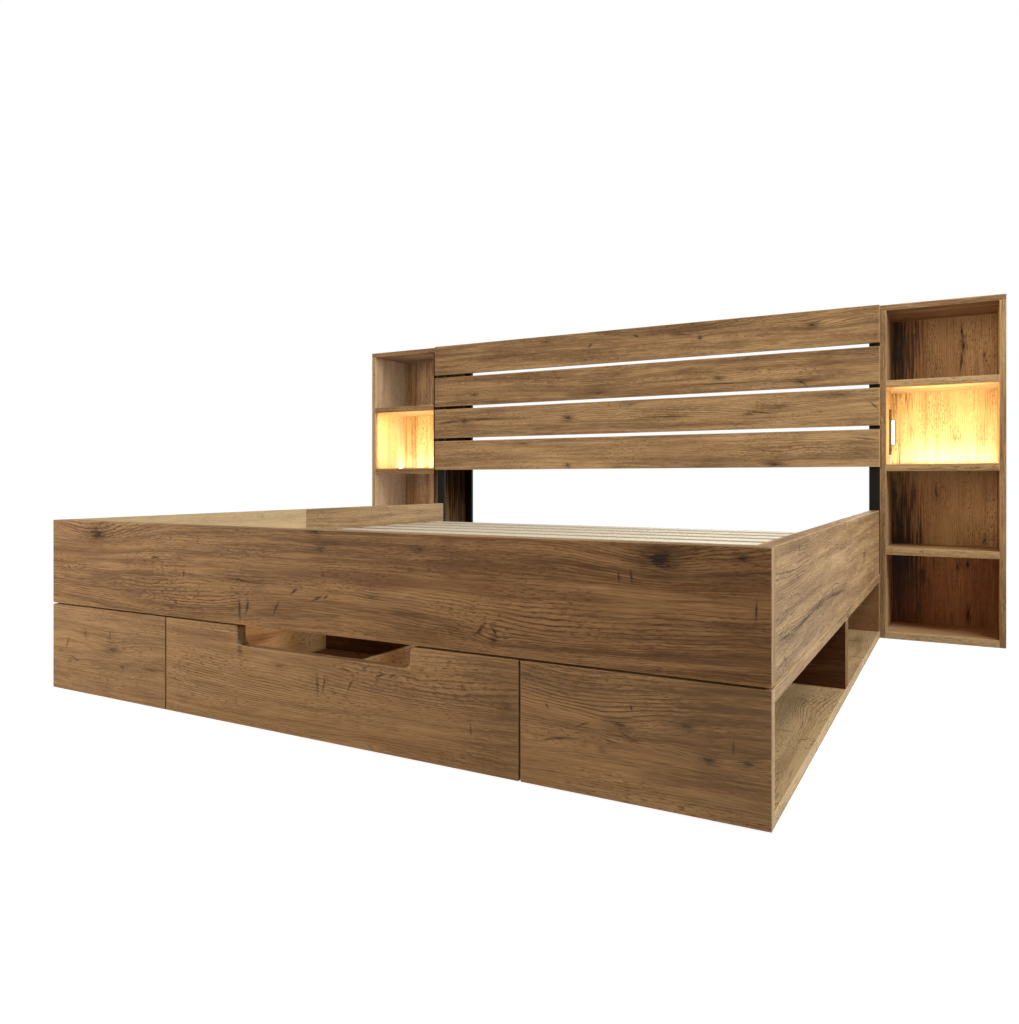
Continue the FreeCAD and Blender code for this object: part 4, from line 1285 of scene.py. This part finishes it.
# Studio lamps: name, colour, watts, size, place and aim in metres. The niche and tower lamps stand in the
# open fronts of the towers and the drawer lamps in the drawer, where they light little else.
LAMPS = (
    ("key_lamp", "fafdf3", 165, (2.0, 2.0), (4.4, -0.5, 2.2), (0.3, 0.2, 0.4)),
    ("high_lamp", "ffffff", 62, (1.0, 1.0), (2.4, -1.0, 3.8), (-0.3, 0.3, 0.5)),
    ("foot_lamp", "fff8cf", 8.5, (2.0, 0.8), (0.2, -1.05, 1.7), (0.0, 0.9, 0.8)),
    ("left_lamp", "ffefd6", 42.5, (1.2, 1.2), (-2.4, -3.0, 1.3), (-0.7, -1.1, 0.3)),
    ("low_left_lamp", "ffeacb", 17, (0.9, 0.9), (-2.6, -3.4, 0.5), (-0.5, -1.1, 0.2)),
    ("front_lamp", "ffc48a", 42, (2.5, 2.5), (-0.6, -6.0, 2.2), (0.0, 0.0, 0.6)),
    ("back_lamp", "fff6ea", 50, (3.0, 1.2), (0.3, 5.0, 1.3), (0.0, 1.1, 0.6)),
    ("left_niche_lamp", "ffe8a6", 2.6, (0.3, 0.26), (-1.125, 0.885, 0.768), (-1.125, 1.149, 0.768)),
    ("right_niche_lamp", "ffe8a4", 2.2, (0.3, 0.26), (1.125, 0.885, 0.768), (1.125, 1.149, 0.768)),
    ("left_tower_top_lamp", "e8ebff", 0.6, (0.06, 0.12), (-0.958, 0.895, 1.0), (-1.295, 0.96, 0.98)),
    ("left_tower_low_lamp", "f6f0ff", 0.84, (0.06, 0.2), (-0.958, 0.91, 0.48), (-1.295, 0.96, 0.40)),
    ("right_tower_top_lamp", "ffd8bc", 0.17, (0.26, 0.16), (1.145, 0.885, 1.05), (1.145, 1.149, 1.0)),
    ("right_tower_low_lamp", "ffcfa8", 0.1, (0.26, 0.2), (1.145, 0.885, 0.49), (1.145, 1.149, 0.44)),
    ("right_tower_base_lamp", "ff7c38", 0.08, (0.26, 0.2), (1.145, 0.885, 0.17), (1.145, 1.149, 0.15)),
    ("drawer_left_lamp", "ffdfb2", 0.45, (0.12, 0.04), (-0.2, -0.86, 0.2), (-0.46, -0.96, 0.1)),
    ("drawer_right_lamp", "ffcea0", 0.3, (0.08, 0.04), (0.3, -1.0, 0.2), (0.0, -0.9, 0.13)),
)


def seen_directly(tree):
    """1 for rays that show the background to the eye or through a part, 0.5 in a reflection, else 0."""
    path = add_node(tree, "LightPath")
    mirrored = add_node(tree, "Math", [path.outputs["Is Glossy Ray"], 0.5], operation="MULTIPLY")
    seen = add_node(tree, "Math", [path.outputs["Is Camera Ray"], mirrored], operation="MAXIMUM")
    return add_node(tree, "Math", [seen, path.outputs["Is Transmission Ray"]], operation="MAXIMUM")


def studio_floor(stage):
    """A pale matt floor that is white to the eye and throws back less light than it shows."""
    bpy.ops.object.select_all(action="DESELECT")
    bpy.ops.mesh.primitive_plane_add(size=FLOOR_SIZE, location=(0, 0, 0))
    floor = bpy.context.object
    floor.name = "studio_floor"
    material, tree, shader = new_material("Pale studio floor")
    set_inputs(tree, shader, {"Base Color": stage.floor, "Roughness": 0.9, "Specular IOR Level": 0.0})
    seen = seen_directly(tree)
    place = add_node(tree, "TexCoord").outputs["Object"]
    far = add_node(tree, "VectorMath", [place], operation="LENGTH")
    level = add_node(tree, "MapRange", [far, WHITENING_START, WHITENING_END, stage.floor_white, 1.0],
                     interpolation_type="SMOOTHSTEP")
    white = add_node(tree, "Emission", {"Color": (1, 1, 1, 1), "Strength": level})
    lifted = add_node(tree, "AddShader", [shader, white])
    chosen = add_node(tree, "MixShader", [seen, shader, lifted])
    output = next(node for node in tree.nodes if node.type == "OUTPUT_MATERIAL")
    set_inputs(tree, output, [chosen])
    floor.data.materials.append(material)


def studio_backdrop(scene, stage):
    """White all round to the eye, with only a little light from all sides."""
    world = bpy.data.worlds.new("Studio")
    world.use_nodes = True
    tree = world.node_tree
    tree.nodes.clear()
    sky = add_node(tree, "Background", {"Color": hex_colour("fff6ea"), "Strength": stage.sky})
    white = add_node(tree, "Background", {"Color": (1, 1, 1, 1), "Strength": 1.0})
    chosen = add_node(tree, "MixShader", [seen_directly(tree), sky, white])
    add_node(tree, "OutputWorld", [chosen])
    scene.world = world


def studio_lamps(scene, stage):
    """The lamps of the studio, each turned towards its aim."""
    for name, colour, power, size, place, target in LAMPS:
        lamp = bpy.data.lights.new(name, "AREA")
        lamp.shape = "RECTANGLE"
        lamp.size, lamp.size_y = size
        lamp.energy = power * stage.light
        lamp.color = hex_colour(colour)[:3]
        holder = bpy.data.objects.new(name, lamp)
        holder.location = place
        holder.rotation_euler = (Vector(target) - Vector(place)).to_track_quat("-Z", "Y").to_euler()
        holder.visible_camera = False
        scene.collection.objects.link(holder)


def photo_camera(scene):
    """The camera at the place that the photograph was taken from."""
    lens = bpy.data.cameras.new("photo_camera")
    lens.lens = CAMERA_LENS
    lens.sensor_width = CAMERA_SENSOR
    lens.shift_x, lens.shift_y = CAMERA_SHIFT
    camera = bpy.data.objects.new("photo_camera", lens)
    camera.location = CAMERA_PLACE
    camera.rotation_euler = (math.radians(90), 0.0, math.radians(CAMERA_TURN))
    scene.collection.objects.link(camera)
    scene.camera = camera


class BED_OT_stage(bpy.types.Operator):
    """Set up the floor, the backdrop, the studio lights and the camera"""
    bl_idname = "bed.stage"
    bl_label = "Stage"

    def execute(self, context):
        scene, stage = context.scene, context.scene.bed_stage
        scene.view_settings.view_transform = "Standard"
        studio_floor(stage)
        studio_backdrop(scene, stage)
        studio_lamps(scene, stage)
        photo_camera(scene)
        return {"FINISHED"}


class BED_PT_panel(bpy.types.Panel):
    """Buttons and settings for the storage bed"""
    bl_idname = "BED_PT_panel"
    bl_label = "Storage Bed"
    bl_space_type = "VIEW_3D"
    bl_region_type = "UI"
    bl_category = "Bed"

    def draw(self, context):
        for operator in OPERATORS:
            self.layout.operator(operator.bl_idname)
        for name, group in SETTINGS.items():
            box = self.layout.box()
            for key in group.__annotations__:
                box.prop(getattr(context.scene, name), key)


OPERATORS = (BED_OT_boards, BED_OT_slats, BED_OT_metal, BED_OT_strips, BED_OT_posts, BED_OT_bolts,
             BED_OT_reading_light, BED_OT_stage)
SETTINGS = {"bed_oak": OakSettings, "bed_metal": MetalSettings, "bed_lights": LightSettings,
            "bed_slats": SlatSettings, "bed_stage": StageSettings}


def register():
    for group in SETTINGS.values():
        bpy.utils.register_class(group)
    for name, group in SETTINGS.items():
        setattr(bpy.types.Scene, name, bpy.props.PointerProperty(type=group))
    for operator in OPERATORS:
        bpy.utils.register_class(operator)
    bpy.utils.register_class(BED_PT_panel)


def unregister():
    bpy.utils.unregister_class(BED_PT_panel)
    for operator in reversed(OPERATORS):
        bpy.utils.unregister_class(operator)
    for name in SETTINGS:
        delattr(bpy.types.Scene, name)
    for group in reversed(tuple(SETTINGS.values())):
        bpy.utils.unregister_class(group)


def main():
    register()
    bpy.ops.bed.boards()
    bpy.ops.bed.slats()
    bpy.ops.bed.metal()
    bpy.ops.bed.strips()
    bpy.ops.bed.posts()
    bpy.ops.bed.bolts()
    bpy.ops.bed.reading_light()
    bpy.ops.bed.stage()


if __name__ == "__main__":
    main()
